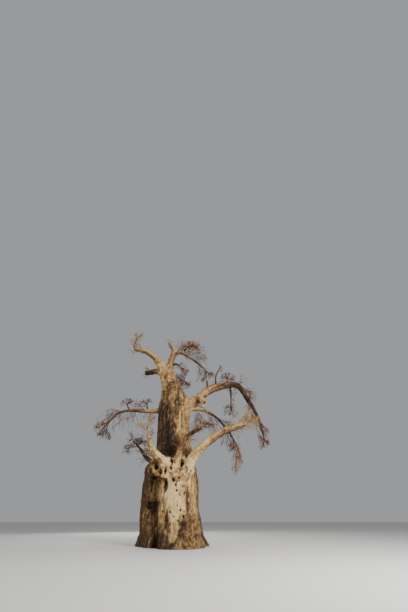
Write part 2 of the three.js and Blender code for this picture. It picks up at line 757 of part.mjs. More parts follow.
const tree = new THREE.Group();
const trunk = makeTrunk();
tree.add(namedMesh("trunk", largestBody(trunk.core), LOOKS.trunk));
const { made, shapes } = makeBoughs(trunk);
for (const bough of made) tree.add(namedMesh(bough.name, bough.core, LOOKS.bough));
const masses = MASSES.map((row, i) => new Mass(row, FIRST_SEED + i, shapes[row.bough]));
for (const mass of masses) {
  const bough = made.find((limb) => limb.name === mass.owner);
  tree.add(namedMesh(mass.name, mass.solid(masses, bough), LOOKS.twig));
}

export default tree;
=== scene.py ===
"""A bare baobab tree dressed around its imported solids, in metres with +Z up."""

import logging
import math
from collections.abc import Callable, Sequence
from dataclasses import dataclass, field
from enum import Enum
from functools import partial
from typing import ClassVar

import bpy
import numpy as np
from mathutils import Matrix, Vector


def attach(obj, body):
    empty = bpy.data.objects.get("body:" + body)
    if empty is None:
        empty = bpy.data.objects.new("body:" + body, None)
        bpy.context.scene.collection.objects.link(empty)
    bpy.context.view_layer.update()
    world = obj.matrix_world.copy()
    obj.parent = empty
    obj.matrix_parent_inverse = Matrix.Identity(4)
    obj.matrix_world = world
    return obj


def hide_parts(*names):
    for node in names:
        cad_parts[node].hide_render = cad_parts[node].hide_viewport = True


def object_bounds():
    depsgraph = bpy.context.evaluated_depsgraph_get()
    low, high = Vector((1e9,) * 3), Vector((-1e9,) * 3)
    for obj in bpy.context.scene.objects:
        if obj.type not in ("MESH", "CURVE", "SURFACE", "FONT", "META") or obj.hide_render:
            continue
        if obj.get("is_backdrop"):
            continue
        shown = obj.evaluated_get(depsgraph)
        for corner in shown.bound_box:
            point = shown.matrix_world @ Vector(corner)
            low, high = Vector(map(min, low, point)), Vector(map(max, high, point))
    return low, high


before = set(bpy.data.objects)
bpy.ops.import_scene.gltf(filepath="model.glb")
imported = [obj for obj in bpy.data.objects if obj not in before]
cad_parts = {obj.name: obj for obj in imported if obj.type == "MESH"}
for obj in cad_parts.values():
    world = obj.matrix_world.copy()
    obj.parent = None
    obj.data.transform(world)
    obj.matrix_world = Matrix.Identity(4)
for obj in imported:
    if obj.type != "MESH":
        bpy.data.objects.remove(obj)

LOG = logging.getLogger("baobab")
Array = np.ndarray
Place = tuple[float, float, float]
Pair = tuple[float, float]
Path = tuple[Place, ...]
Rows = tuple[tuple[float, ...], ...]
Material = bpy.types.Material
Thing = bpy.types.Object
Tree = bpy.types.NodeTree
Node = bpy.types.Node
Window = tuple[slice, ...]

MM = 0.001  # metres in a millimetre
FAR = 9.0  # a distance, in metres, longer than any that the wood's field is asked for
TINY = 1e-12  # keeps a length that is divided by above 0

# Fineness of the meshes, in metres
FIELD_STEP = 0.034  # between the points of the trunk's field
FIELD_MARGIN = 0.1  # round whatever is added to the field
HOLLOW_MARGIN = 0.15  # the same round a hollow
BOUGH_FACE = 0.024  # length of a face on a thick bough
THIN_FACE = 0.034  # length of a face on a thin one
THICK_BOUGH = 120  # least radius of a thick bough's root, in millimetres
CURVE_POINTS = 80  # between two corners of a limb's path

# Whole numbers that shuffle bits for the seeded choices and the noise
WORD = 0xFFFFFFFF
DRAW_FACTOR, DRAW_STEP = 1664525, 1013904223
CHILD_FACTOR, CHILD_STEP = 31, 2654435761
CELL_FACTORS = (374761393, 668265263, 1274126177)
SEED_FACTOR, SEED_STEP = 7919, 101
MIX_FACTORS = ((13, 1103515245), (15, 2246822519))  # each after a shift by so many bits
LAST_SHIFT = 16
HALF_WORD = 2147483648

# The eight corners of a cell
CORNERS = np.array([[k & 1, k >> 1 & 1, k >> 2 & 1] for k in range(8)])

# Noise: how its layers are moved apart, and how steep its creases are
LUMP_SHIFT, CREASE_SHIFT = 17.3, 31.7
CREASE_STEEPNESS = 1.6

# Trunk: height, middle x, middle y, half width and half depth, in millimetres
TALL_STEM = (
    (0, -250, 550, 1440, 1330),
    (900, -390, 560, 1370, 1250),
    (1800, -450, 570, 1330, 1200),
    (2600, -450, 570, 1310, 1150),
    (3100, -430, 570, 1190, 1080),
    (3600, -370, 560, 990, 960),
    (4100, -350, 530, 850, 850),
    (5200, -415, 500, 810, 800),
    (6000, -420, 500, 780, 750),
    (6500, -430, 500, 700, 680),
    (7050, -540, 500, 550, 540),
    (7600, -720, 500, 410, 420),
    (8100, -900, 490, 360, 350),
    (8380, -960, 480, 200, 200),
)
FRONT_STEM = (
    (0, 150, -480, 980, 920),
    (800, 60, -500, 920, 800),
    (1700, -120, -530, 730, 680),
    (2400, -120, -540, 660, 610),
    (2750, -90, -550, 620, 560),
    (2980, -80, -560, 500, 450),
    (3110, -80, -560, 250, 220),
)
FLUTES = ((3, 0.03, 0.4, 0.00012), (5, 0.022, 1.9, -0.0001), (8, 0.014, 0.8, 0.00005))
ROOT_FLARE = 0.07
ROOT_FLARE_HEIGHT = 330.0
ROOT_COUNT = 6

# Furrows: over how many metres one sets in at its foot and runs out at its top
GROOVE_FOOT, GROOVE_TOP = 0.25, 0.35

# Ragged hollows: the grain of their wall, as shares of the least half size
HOLLOW_GRAIN = (1.1, 1.1, 1.6)

# Patches of tone: where their edge starts and ends, as shares of their size
PATCH_EDGE = (0.72, 1.15)

# Limbs and twigs: the numbers of the rule that the solids follow, in millimetres
SEAT_GAP = 0.3
COLLAR = 0.28
COLLAR_LENGTH = 260.0
TAPER_POWER = 0.8
RING_STEP = 450.0
FIRST_SEED = 11
SHOOT_SEED = 70
STEM_SEED = 50
BOUGH_SEED = 100
STEM_RADIUS = 0.92
STEM_KNEE = 0.35
STEM_STIFFNESS = 0.3
STEM_LENGTH = 0.45
STEM_TAPER = 0.45
TWIG_TAPER = 0.4
MAIN_TWIG_RADIUS = 22.0
MAIN_TWIG_SHARE = 0.75
SIDE_TWIG_SHARE = 0.62
MAIN_ROOT_FIRST, MAIN_ROOT_GOLDEN, MAIN_ROOT_OFFSET = 0.25, 0.754878, 0.4
AIM_TURN, AIM_GOLDEN, AIM_OFFSET = 2.399963, 0.618034, 0.31
SIDE_ROOT_FIRST, SIDE_ROOT_SPAN, SIDE_ROOT_STRAY = 0.3, 0.6, 0.5
SIDE_LENGTH_ROOT, SIDE_LENGTH_LOSS = 0.62, 0.3
SIDE_LENGTH_LEAST, SIDE_LENGTH_SPREAD = 0.8, 0.4
SIDE_AHEAD = 0.55
SIDE_TURN = 0.5
BOW = 0.18
DROOP = 0.35
SIDE_DROOP = 0.25
CROOK = 0.14
END_CROOK = 0.3
FILL_MOST, FILL_SPREAD = 0.94, 0.12
SHORTENED = (1.0, 0.62)
PROBES = np.array([0.25, 0.5, 0.75, 1.0])
SPACE_MARGIN = 0.06
SPHERE_STEP = 60.0
FLUTE_ALLOWANCE = 1.12
TWIG_CLEARANCE = 30.0
NEAR_PLAY, NEAR_LIMBS, NEAR_MASSES = 150, 1.25, 1.3  # what counts as near to a mass
SHOOT_REACH = 1500  # farther than any shoot reaches from its bough
STEM_REACH = 2600  # farther than any stem reaches from the middle

# Twigs carried on past the solids' own
SIDE_TWIGS = (4, 3, 2, 0)
TWIG_JOINTS = (5, 4, 2, 1)
FINEST_TWIG = 6.5  # least radius of a twig at its root, in millimetres
FINEST_TIP = FINEST_TWIG * 0.7  # the same at its tip
SHOOT_RADIUS = 10.0  # of the shoots along the boughs, in millimetres
SHOOT_PLAY = 0.15  # how far shoots may pass the solids' own box, in metres
TWIG_COLOURS = (("reddish", "#7C5336"), ("dark", "#4C3725"), ("straw", "#A88B5A"))


class End(Enum):
    """How a bough ends."""

    TWIGS = "runs on into twigs"
    BROKEN = "snapped off, with a ragged rim"
    BLUNT = "dead tip, rounded by weather"


class Blend(Enum):
    """How softly wood meets wood, as the size of the rounding in metres."""

    PIT = 0.03
    CLOSE = 0.05
    GROOVE = 0.06
    RIB = 0.08
    KNUCKLE = 0.1
    ROOT = 0.12


class Tint(Enum):
    """The plain colours that sprays of twigs are dealt."""

    REDDISH = 0
    DARK = 1
    STRAW = 2


def linear(colour: str) -> tuple[float, float, float, float]:
    """Turns an sRGB hex colour into linear red, green and blue, and an alpha of 1."""
    parts = [int(colour[i : i + 2], 16) / 255 for i in (1, 3, 5)]
    return (*(c / 12.92 if c <= 0.04045 else ((c + 0.055) / 1.055) ** 2.4 for c in parts), 1.0)


def add_node(
    tree: Tree,
    kind: str,
    settings: dict[str, object] | None = None,
    inputs: dict[str | int, object] | None = None,
) -> Node:
    """Adds one node, sets its properties, and fills or links its inputs.

    Args:
        tree: the node tree.
        kind: Blender's name for the kind of node.
        settings: property names and values.
        inputs: socket names or numbers, each with a value or the socket to link from.

    Returns:
        The new node.
    """
    node = tree.nodes.new(kind)
    for name, value in (settings or {}).items():
        setattr(node, name, value)
    for key, value in (inputs or {}).items():
        if isinstance(value, bpy.types.NodeSocket):
            tree.links.new(value, node.inputs[key])
        else:
            node.inputs[key].default_value = value
    return node


def stand(name: str, data: bpy.types.ID) -> Thing:
    """Puts a mesh, a light or a camera into the scene.

    Args:
        name: the object's name.
        data: what it shows.

    Returns:
        The object, at the origin.
    """
    thing = bpy.data.objects.new(name, data)
    bpy.context.scene.collection.objects.link(thing)
    return thing


def smooth(low: float, high: float, value: Array) -> Array:
    """Runs from 0 where a value is low to 1 where it is high, with soft ends."""
    share = np.clip((value - low) / (high - low), 0, 1)
    return share * share * (3 - 2 * share)


def unit(vectors: Array) -> Array:
    """Returns the vectors at length 1."""
    return vectors / np.maximum(np.linalg.norm(vectors, axis=-1, keepdims=True), TINY)


class Stream:
    """The number stream that every seeded choice of a twig comes from."""

    def __init__(self, seed: int) -> None:
        """Starts the stream, and drops its first two numbers.

        Args:
            seed: what tells it from other streams.
        """
        self.state = seed & WORD
        self.draw()
        self.draw()

    def draw(self) -> float:
        """Returns the next number, from 0 up to 1."""
        self.state = (self.state * DRAW_FACTOR + DRAW_STEP) & WORD
        return self.state / (2 * HALF_WORD)

    def centred(self) -> Array:
        """Returns three numbers, each from -0.5 to 0.5."""
        return np.array([self.draw() - 0.5 for _ in range(3)])


def child_seed(seed: int, index: int) -> int:
    """Returns the seed of one child of whatever had a seed."""
    return (seed * CHILD_FACTOR + (index + 1) * CHILD_STEP) & WORD


@dataclass(frozen=True)
class Noise:
    """Smooth seeded noise in space, read at many points at once."""

    seed: int

    def _corner(self, cell: Array) -> Array:
        """Gives each cell a fixed number.

        Args:
            cell: whole-numbered places.

        Returns:
            Numbers from -1 to 1.
        """
        x, y, z = (cell[:, k].astype(np.uint32) * np.uint32(CELL_FACTORS[k]) for k in range(3))
        mixed = x + y + z + np.uint32(self.seed * SEED_FACTOR + SEED_STEP)
        for shift, factor in MIX_FACTORS:
            mixed = (mixed ^ (mixed >> np.uint32(shift))) * np.uint32(factor)
        return (mixed ^ (mixed >> np.uint32(LAST_SHIFT))).astype(np.float64) / HALF_WORD - 1

    def value(self, points: Array) -> Array:
        """Reads one layer of noise, whose grain is one unit.

        Args:
            points: where it is read.

        Returns:
            Numbers from about -1 to 1.
        """
        cell = np.floor(points).astype(np.int64)
        part = points - cell
        ease = part * part * part * (part * (part * 6 - 15) + 10)
        total = np.zeros(len(points))
        for step in CORNERS:
            weight = np.prod(np.where(step, ease, 1 - ease), axis=1)
            total += weight * self._corner(cell + step)
        return total

    def layers(
        self, points: Array, size: Sequence[float], octaves: int, creased: bool = False
    ) -> Array:
        """Returns noise in layers, each half as large and half as strong as the last.

        Args:
            points: where it is read, in metres.
            size: grain along x, y and z, in metres.
            octaves: number of layers.
            creased: whether it has narrow creases in place of rounded lumps.

        Returns:
            The sum, from about -1 to 1, or from 0 in the creases to 1 on the folds between them.
        """
        scaled = points / np.array(size)
        shift = CREASE_SHIFT if creased else LUMP_SHIFT
        total = np.zeros(len(points))
        for k in range(octaves):
            layer = self.value(scaled * 2**k + shift * k)
            total += (np.abs(layer) if creased else layer) / 2**k
        whole = 2 - 0.5 ** (octaves - 1)
        return np.minimum(total * CREASE_STEEPNESS / whole, 1) if creased else total / whole


@dataclass(frozen=True)
class Layer:
    """One layer of noise on a surface: its strength, its grain in metres and its octaves."""

    strength: float
    grain: Place
    octaves: int = 2

    def lumps(self, noise: Noise, points: Array) -> Array:
        """Returns rounded lumps and dips."""
        return self.strength * noise.layers(points, self.grain, self.octaves)

    def folds(self, noise: Noise, points: Array) -> Array:
        """Returns folds with narrow creases between them."""
        return self.strength * (noise.layers(points, self.grain, self.octaves, True) - 0.5)


def blend_stations(stations: Sequence[Sequence[float]], height: Array) -> list[Array]:
    """Reads a stem's section at each height from the smooth curve through its stations.

    Args:
        stations: rows of height, x, y, half width and half depth.
        height: heights in the stations' own unit.

    Returns:
        Arrays of x, y, half width and half depth.
    """
    rows = np.array(stations, float)
    last = len(rows) - 1
    i = np.clip(np.searchsorted(rows[:, 0], height), 1, last)
    p0, p1, p2, p3 = (rows[np.clip(i + k, 0, last)] for k in (-2, -1, 0, 1))
    rise = p2[:, 0] - p1[:, 0]
    t = (height - p1[:, 0]) / rise
    result = []
    for key in range(1, 5):
        slope1 = (p2[:, key] - p0[:, key]) / (p2[:, 0] - p0[:, 0]) * rise
        slope2 = (p3[:, key] - p1[:, key]) / (p3[:, 0] - p1[:, 0]) * rise
        ease = t * t * (3 - 2 * t)
        bend = t * (1 - t) * ((1 - t) * slope1 - t * slope2)
        result.append(p1[:, key] * (1 - ease) + p2[:, key] * ease + bend)
    return result


@dataclass(eq=False)
class Limb:
    """A middle line and a radius along it, in millimetres, as the solids have them."""

    base: float
    tip: float
    path: Path
    first: float = 0.0
    last: float = 1.0
    power: float = TAPER_POWER
    collar: float = COLLAR
    table: Array = field(init=False)
    reach: Array = field(init=False)

    def __post_init__(self) -> None:
        """Samples the curve closely, so that a place is found by its length."""
        points = np.array(self.path, float)
        ends = np.vstack([2 * points[0] - points[1], points, 2 * points[-1] - points[-2]])
        rows = [self._piece(ends[i : i + 4]) for i in range(len(points) - 1)]
        self.table = np.vstack([*rows, points[-1:]])
        steps = np.linalg.norm(np.diff(self.table, axis=0), axis=1)
        self.reach = np.concatenate([[0], np.cumsum(steps)])

    @staticmethod
    def _piece(corners: Array) -> Array:
        """Draws the smooth curve between the middle two of four corners.

        Args:
            corners: the four.

        Returns:
            Close points on it, without the last.
        """
        gaps = np.maximum(np.linalg.norm(np.diff(corners, axis=0), axis=1) ** 0.5, 1e-4)
        x0, x1, x2, x3 = corners
        d0, d1, d2 = gaps
        lead = ((x1 - x0) / d0 - (x2 - x0) / (d0 + d1) + (x2 - x1) / d1) * d1
        trail = ((x2 - x1) / d1 - (x3 - x1) / (d1 + d2) + (x3 - x2) / d2) * d1
        t = np.linspace(0, 1, CURVE_POINTS, endpoint=False)[:, None]
        cube = 2 * x1 - 2 * x2 + lead + trail
        square = -3 * x1 + 3 * x2 - 2 * lead - trail
        return x1 + lead * t + square * t**2 + cube * t**3

    @property
    def length(self) -> float:
        """Returns the whole curve's length."""
        return float(self.reach[-1])

    def at(self, share: Array | float) -> Array:
        """Returns the point at each share of the length."""
        where = np.asarray(share) * self.length
        return np.stack([np.interp(where, self.reach, self.table[:, k]) for k in range(3)], -1)

    def radius(self, share: Array | float) -> Array:
        """Returns the solid's radius at each share of the length."""
        taper = self.base + (self.tip - self.base) * np.asarray(share, float) ** self.power
        return taper * (1 + self.collar * np.exp(-share * self.length / COLLAR_LENGTH))

    @property
    def heading(self) -> Array:
        """Returns the direction at the tip."""
        return unit(self.table[-1] - self.table[-3])

    def split(self, share: float) -> tuple["Limb", "Limb"]:
        """Parts the limb at one of the solid's rings.

        Args:
            share: the ring nearest to it is taken.

        Returns:
            The lower and the upper part.
        """
        steps = max(2, round(self.length / RING_STEP))
        crest = round(share * steps) / steps
        lower = Limb(self.base, self.tip, self.path, 0.0, crest)
        return lower, Limb(self.base, self.tip, self.path, crest, 1.0)


@dataclass
class Skin:
    """A surface of four-cornered faces, with numbers kept at its points."""

    points: Array
    faces: Array
    marks: dict[str, Array] = field(default_factory=dict)
    slots: Array | None = None

    def normals(self) -> Array:
        """Works out which way is outward.

        Returns:
            A direction of length 1 at each point.
        """
        corners = self.points[self.faces]
        across = np.cross(corners[:, 2] - corners[:, 0], corners[:, 3] - corners[:, 1])
        total = np.zeros_like(self.points)
        for k in range(3):
            for corner in range(4):
                index = self.faces[:, corner]
                total[:, k] += np.bincount(index, across[:, k], len(self.points))
        return unit(total)

    def relaxed(self, values: Array, rounds: int) -> Array:
        """Averages numbers or places kept at the points with their neighbours'.

        Args:
            values: one row for each point.
            rounds: how often.

        Returns:
            The averaged rows.
        """
        start = self.faces.ravel()
        stop = np.roll(self.faces, -1, axis=1).ravel()
        size = len(self.points)
        count = np.bincount(start, minlength=size) + np.bincount(stop, minlength=size)
        current = values.reshape(size, -1).astype(float)
        for _ in range(rounds):
            sums = [
                np.bincount(start, column[stop], size) + np.bincount(stop, column[start], size)
                for column in current.T
            ]
            total = np.stack(sums, axis=1)
            current = 0.5 * current + 0.5 * total / np.maximum(count, 1)[:, None]
        return current.reshape(values.shape)

    def depth(self, rounds: int) -> Array:
        """Returns how far each point lies below its surroundings, in metres."""
        level = self.relaxed(self.points, rounds)
        return np.sum((level - self.points) * self.normals(), axis=1)

    def whole(self) -> "Skin":
        """Leaves out the crumbs that lie apart from the rest.

        Returns:
            The largest connected part.
        """
        start = self.faces.ravel()
        stop = np.roll(self.faces, -1, axis=1).ravel()
        group = np.arange(len(self.points))
        while True:
            least = np.minimum(group[start], group[stop])
            spread = group.copy()
            np.minimum.at(spread, start, least)
            np.minimum.at(spread, stop, least)
            spread = spread[spread]
            if np.array_equal(spread, group):
                break
            group = spread
        kept = group == np.bincount(group).argmax()
        number = np.cumsum(kept) - 1
        return Skin(self.points[kept], number[self.faces[kept[self.faces[:, 0]]]])

    def make(self, name: str, materials: Sequence[Material]) -> Thing:
        """Turns the surface into an object at the origin.

        Args:
            name: the object's name.
            materials: one for each slot number in slots.

        Returns:
            The object, smooth shaded, with its marks as attributes.
        """
        mesh = bpy.data.meshes.new(name)
        mesh.from_pydata(self.points.tolist(), [], self.faces.tolist())
        for material in materials:
            mesh.materials.append(material)
        for mark, values in self.marks.items():
            kind, key = ("FLOAT_VECTOR", "vector") if values.ndim == 2 else ("FLOAT", "value")
            attribute = mesh.attributes.new(mark, kind, "POINT")
            attribute.data.foreach_set(key, values.astype(np.float32).ravel())
        mesh.polygons.foreach_set("use_smooth", np.ones(len(self.faces), bool))
        if self.slots is not None:
            mesh.polygons.foreach_set("material_index", self.slots.astype(np.int32))
        mesh.update()
        return stand(name, mesh)


@dataclass(frozen=True)
class Groove:
    """A furrow down a stem, or a rib where its depth is below 0."""

    angle: float  # degrees round the stem, where -90 faces the front
    low: float  # height of its foot, in metres
    high: float
    width: float  # degrees
    depth: float  # share of the stem's radius
    lean: float = 0.0  # degrees that it turns for each metre up

    def cut(self, angle: Array, height: Array) -> Array:
        """Works out how much it takes off.

        Args:
            angle: angles round the stem, in radians.
            height: heights, in metres.

        Returns:
            Shares of the stem's radius.
        """
        middle = math.radians(self.angle) + math.radians(self.lean) * (height - self.low)
        apart = (angle - middle + math.pi) % (2 * math.pi) - math.pi
        foot = smooth(self.low, self.low + GROOVE_FOOT, height)
        fade = foot * (1 - smooth(self.high - GROOVE_TOP, self.high, height))
        return self.depth * fade * np.exp(-((apart / math.radians(self.width)) ** 2))


# The solids' own furrows
TALL_FURROWS = tuple(Groove(*row) for row in (
    (-106, -0.3, 1.9, 8, 0.1), (-131, 0.9, 3.3, 7.5, 0.06, 1), (-153, -0.3, 2.9, 8, 0.07),
    (-178, 0.3, 3.4, 8, 0.08, -1.5), (-35, 0.2, 3.2, 8, 0.09), (15, 0.2, 3.2, 8, 0.07, 1),
    (48, -0.3, 3.6, 9, 0.08, -1.5), (84, 0.3, 4.6, 8, 0.08, 1.5), (117, -0.3, 3.4, 9, 0.08, 0.5),
    (150, 0.4, 4, 8, 0.08, -1), (-38, 3.9, 6.9, 8, 0.08, -1), (-75, 4.6, 7.6, 9, 0.08, 3),
    (-110, 3.8, 6.4, 9, 0.08, -2), (-150, 4, 7, 9, 0.08, 1), (30, 4.2, 6.8, 9, 0.08, 1),
    (70, 4.6, 7, 9, 0.08, -2), (125, 4, 6.6, 9, 0.08, 1),
))
FRONT_FURROWS = tuple(Groove(*row) for row in (
    (-12, 0.2, 2.9, 8, 0.07, 1), (-40, -0.3, 1.6, 8, 0.06, 3), (-140, 0.9, 2.9, 8, 0.05, 2),
    (-160, -0.3, 1.9, 8, 0.06),
))
# Narrower folds between them
TALL_FOLDS = tuple(Groove(*row) for row in (
    (-142, 1.1, 3.3, 3.5, 0.03, 1), (-120, 0.2, 3.2, 3, 0.03, -1.5), (-168, 0.1, 3, 3.5, 0.03, 1),
    (-22, 4.3, 6.6, 4, 0.045, 1.5), (-56, 4.2, 7.2, 4.5, 0.04, 0.5), (-92, 4.2, 7.4, 4, 0.035, 1.5),
    (-130, 4.6, 7.4, 4.5, 0.04, 2), (65, 0.2, 3.4, 4, 0.03, 1), (100, 0.5, 3.8, 4, 0.03, -1),
    (134, 0.1, 3.2, 4, 0.03, 1), (98, 4.2, 7, 5, 0.04, 1.5), (155, 4.2, 6.8, 5, 0.04, -1.5),
))
FRONT_FOLDS = tuple(Groove(*row) for row in (
    (-27, 0.6, 2.8, 3.5, 0.03, 1.5), (-58, -0.3, 1.1, 4, 0.035, 4), (-126, 0.9, 2.9, 3, 0.022, 1.5),
    (-150, 0.2, 2.6, 3.5, 0.03, 1), (-112, -0.3, 0.8, 4, 0.035),
))


@dataclass(frozen=True)
class Stem:
    """An upright stem whose section changes with height."""

    stations: Rows
    grooves: tuple[Groove, ...] = ()

    def section(self, height: Array) -> list[Array]:
        """Returns middle x and y, half width and half depth in metres at each height."""
        flat = np.clip(height.ravel() / MM, 0, self.stations[-1][0])
        return [(row * MM).reshape(height.shape) for row in blend_stations(self.stations, flat)]

    def distance(self, x: Array, y: Array, z: Array) -> Array:
        """Returns how far each place lies outside the bark, below 0 inside.

        Args:
            x: places from left to right, in metres.
            y: places from front to back.
            z: heights.

        Returns:
            The distances, in the shape that the three make together.
        """
        middle_x, middle_y, wide, deep = (row.astype(np.float32) for row in self.section(z))
        across = (x - middle_x) / wide
        along = (y - middle_y) / deep
        angle = np.arctan2(along, across)
        out = np.ones_like(angle)
        for count, size, phase, twist in FLUTES:
            out += size * np.cos(count * angle + phase + twist * z / MM)
        foot = ROOT_FLARE * np.exp(-np.maximum(z, 0) / MM / ROOT_FLARE_HEIGHT)
        out += foot * (1 + np.cos(ROOT_COUNT * angle))
        for groove in self.grooves:
            out -= groove.cut(angle, z)
        share = np.maximum(np.hypot(across, along), 1e-3)
        reach = np.hypot(x - middle_x, y - middle_y) / share
        side = (share - out) * reach
        top = z - self.stations[-1][0] * MM
        return np.maximum(side, top).astype(np.float32)


@dataclass
class WoodField:
    """Distances to the bark on a grid of places, below 0 inside the wood."""

    low: Place
    high: Place
    step: float
    axes: list[Array] = field(init=False)
    values: Array = field(init=False)

    def __post_init__(self) -> None:
        """Lays out the grid, with no wood in it."""
        counts = [math.ceil((b - a) / self.step) + 1 for a, b in zip(self.low, self.high)]
        self.axes = [a + self.step * np.arange(n) for a, n in zip(self.low, counts)]
        self.values = np.full(counts, FAR, np.float32)

    def open_grid(self, window: Window) -> list[Array]:
        """Returns x, y and z of a window of the grid, shaped to combine."""
        x, y, z = (axis[part].astype(np.float32) for axis, part in zip(self.axes, window))
        return [x[:, None, None], y[None, :, None], z[None, None, :]]

    def window(self, low: Array, high: Array) -> Window:
        """Finds the part of the grid between two corners.

        Args:
            low: the lowest corner, in metres.
            high: the highest.

        Returns:
            A slice along each axis.
        """
        first = np.floor((low - np.array(self.low)) / self.step).astype(int)
        last = np.ceil((high - np.array(self.low)) / self.step).astype(int) + 1
        return tuple(slice(max(a, 0), max(b, 0)) for a, b in zip(first, last))

    def join(self, other: Array, window: Window, blend: Blend, carved: bool = False) -> None:
        """Adds wood to a window with a rounded corner, or takes it away with a rounded lip.

        Args:
            other: distances to the wood.
            window: where.
            blend: how soft the corner is.
            carved: whether the wood is taken away.
        """
        side = -1 if carved else 1
        here = self.values[window] * side
        near = np.maximum(blend.value - np.abs(here - other), 0) / blend.value
        self.values[window] = side * (np.minimum(here, other) - near * near * blend.value / 4)

    def rope(self, points: Array, radii: Array, blend: Blend, carved: bool = False) -> None:
        """Adds a rope of wood along a line, or takes one away.

        Args:
            points: close places along the line, in metres.
            radii: the rope's radius at each.
            blend: how softly it meets the rest.
            carved: whether the wood is taken away.
        """
        margin = radii.max() + blend.value + FIELD_MARGIN
        window = self.window(points.min(0) - margin, points.max(0) + margin)
        x, y, z = self.open_grid(window)
        away = np.full(self.values[window].shape, FAR, np.float32)
        for (px, py, pz), radius in zip(points, radii):
            here = np.sqrt((x - px) ** 2 + (y - py) ** 2 + (z - pz) ** 2) - radius
            np.minimum(away, here, out=away)
        self.join(away, window, blend, carved)

    def hollow(
        self, middle: Place, half: Place, roof: float, blend: Blend, ragged: float = 0.0
    ) -> None:
        """Carves a rounded hollow under a flat roof.

        Args:
            middle: its middle, in metres.
            half: half its width, depth and height.
            roof: height of its flat top.
            blend: how soft its lip is.
            ragged: how far its wall strays, as a share of its size.
        """
        place, size = np.array(middle), np.array(half)
        window = self.window(place - size - HOLLOW_MARGIN, place + size + HOLLOW_MARGIN)
        x, y, z = self.open_grid(window)
        across, along, up = ((a - m) / h for a, m, h in zip((x, y, z), place, size))
        share = np.sqrt(across**2 + along**2 + up**2)
        if ragged:
            places = np.stack(np.broadcast_arrays(x, y, z), axis=-1).reshape(-1, 3)
            grain = size.min() * np.array(HOLLOW_GRAIN)
            stray = Noise(round(abs(middle[0]) / MM)).layers(places, grain, 2)
            share = share + ragged * stray.reshape(share.shape)
        away = np.maximum((share - 1) * size.min(), z - roof)
        self.join(away.astype(np.float32), window, blend, True)

    def roughen(self, relief: Callable[[Array], Array], band: float) -> None:
        """Moves the bark in and out.

        Args:
            relief: gives how far out it stands at each of many places.
            band: how far from the bark that is worked out, in metres.
        """
        near = np.nonzero(np.abs(self.values) < band)
        places = np.stack([axis[index] for axis, index in zip(self.axes, near)], axis=1)
        self.values[near] -= relief(places).astype(np.float32)

    def skin(self) -> Skin:
        """Cuts the wood flat at the ground, and draws the surface where the distance is 0.

        Returns:
            One closed surface.
        """
        self.values = np.maximum(self.values, -self.axes[2].astype(np.float32))
        inside = self.values < 0
        counts = np.array(inside.shape) - 1
        total = np.zeros(counts, np.int8)
        for corner in CORNERS:
            part = tuple(slice(a, a + n) for a, n in zip(corner, counts))
            total += inside[part]
        active = (total > 0) & (total < 8)
        index = np.full(counts, -1, np.int64)
        index[active] = np.arange(active.sum())
        cells = np.argwhere(active)
        places = np.zeros((len(cells), 3))
        crossings = np.zeros(len(cells))
        for corner in CORNERS:
            for step in np.eye(3, dtype=int)[corner == 0]:
                here = cells + corner
                there = here + step
                a = self.values[tuple(here.T)].astype(float)
                b = self.values[tuple(there.T)].astype(float)
                cross = (a < 0) != (b < 0)
                share = np.where(cross, a / np.where(cross, a - b, 1), 0)
                place = here + share[:, None] * (there - here)
                places[cross] += place[cross]
                crossings[cross] += 1
        points = np.array(self.low) + self.step * places / crossings[:, None]
        faces = np.vstack([self._faces(inside, index, axis) for axis in range(3)])
        return Skin(points, faces).whole()

    @staticmethod
    def _faces(inside: Array, index: Array, axis: int) -> Array:
        """Finds the faces that cross the grid's lines along one axis.

        Args:
            inside: which grid points are in the wood.
            index: number of the surface point in each cell.
            axis: number of the axis.

        Returns:
            Four point numbers for each face, in the order that faces it outward.
        """
        ahead = np.moveaxis(inside, axis, 0)
        cells = np.moveaxis(index, axis, 0)
        change = ahead[:-1, 1:-1, 1:-1] != ahead[1:, 1:-1, 1:-1]
        i, j, k = np.nonzero(change)
        leaving = ahead[i, j + 1, k + 1]
        ring = [cells[i, j, k], cells[i, j + 1, k], cells[i, j + 1, k + 1], cells[i, j, k + 1]]
        faces = np.stack(ring, axis=1)
        forward = leaving if axis != 1 else ~leaving
        return np.where(forward[:, None], faces, faces[:, ::-1])


@dataclass(frozen=True)
class Patch:
    """An area of bark with a tone of its own, from 0, near black, to 1, palest."""

    middle: Place
    half: Place
    tone: float
    ragged: float = 0.25  # how far its edge strays

    def cover(self, points: Array, stray: Array | float = 0.0) -> Array:
        """Returns how much of the patch each point has, from 0 to 1."""
        away = np.linalg.norm((points - self.middle) / self.half, axis=1)
        return 1 - smooth(*PATCH_EDGE, away + self.ragged * stray)


@dataclass(frozen=True)
class BoughPlan:
    """One bough: its limb, how it ends, and how its bark looks."""

    node: str
    base: float
    tip: float
    path: Path
    end: End = End.TWIGS
    # How pale the bark is at the root and at the tip: partly its own colour, partly painted light and shade
    tone: float = 0.5
    tip_tone: float = 0.22
    lumps: float = 0.15  # height of its lumps, as a share of its radius
    swells: Path = ()  # share along, spread and size
    split: float = 0.0
    split_node: str = ""


@dataclass(frozen=True)
class MassPlan:
    """One mass of twigs: its space in millimetres, and how its twigs hang and look."""

    node: str
    bough: str
    middle: Place
    reach: Place
    hang: float
    mains: int
    tints: tuple[Tint, ...] = (Tint.REDDISH, Tint.DARK)
    stem: float = 1.0  # thickness of the stem's bark, as a share of the solid's
    fan: float = 1.0  # length of that stem, a short one where the twigs fan out of a broken end


@dataclass(frozen=True)
class ShootPlan:
    """The short shoots along a bough."""

    node: str
    first: float  # shares of the bough's length
    last: float
    count: int
    length: float  # in millimetres
    hang: float
    tints: tuple[Tint, ...] = (Tint.REDDISH, Tint.DARK)
    lean: Place = (0.0, 0.0, 0.5)  # added to a direction of length 1


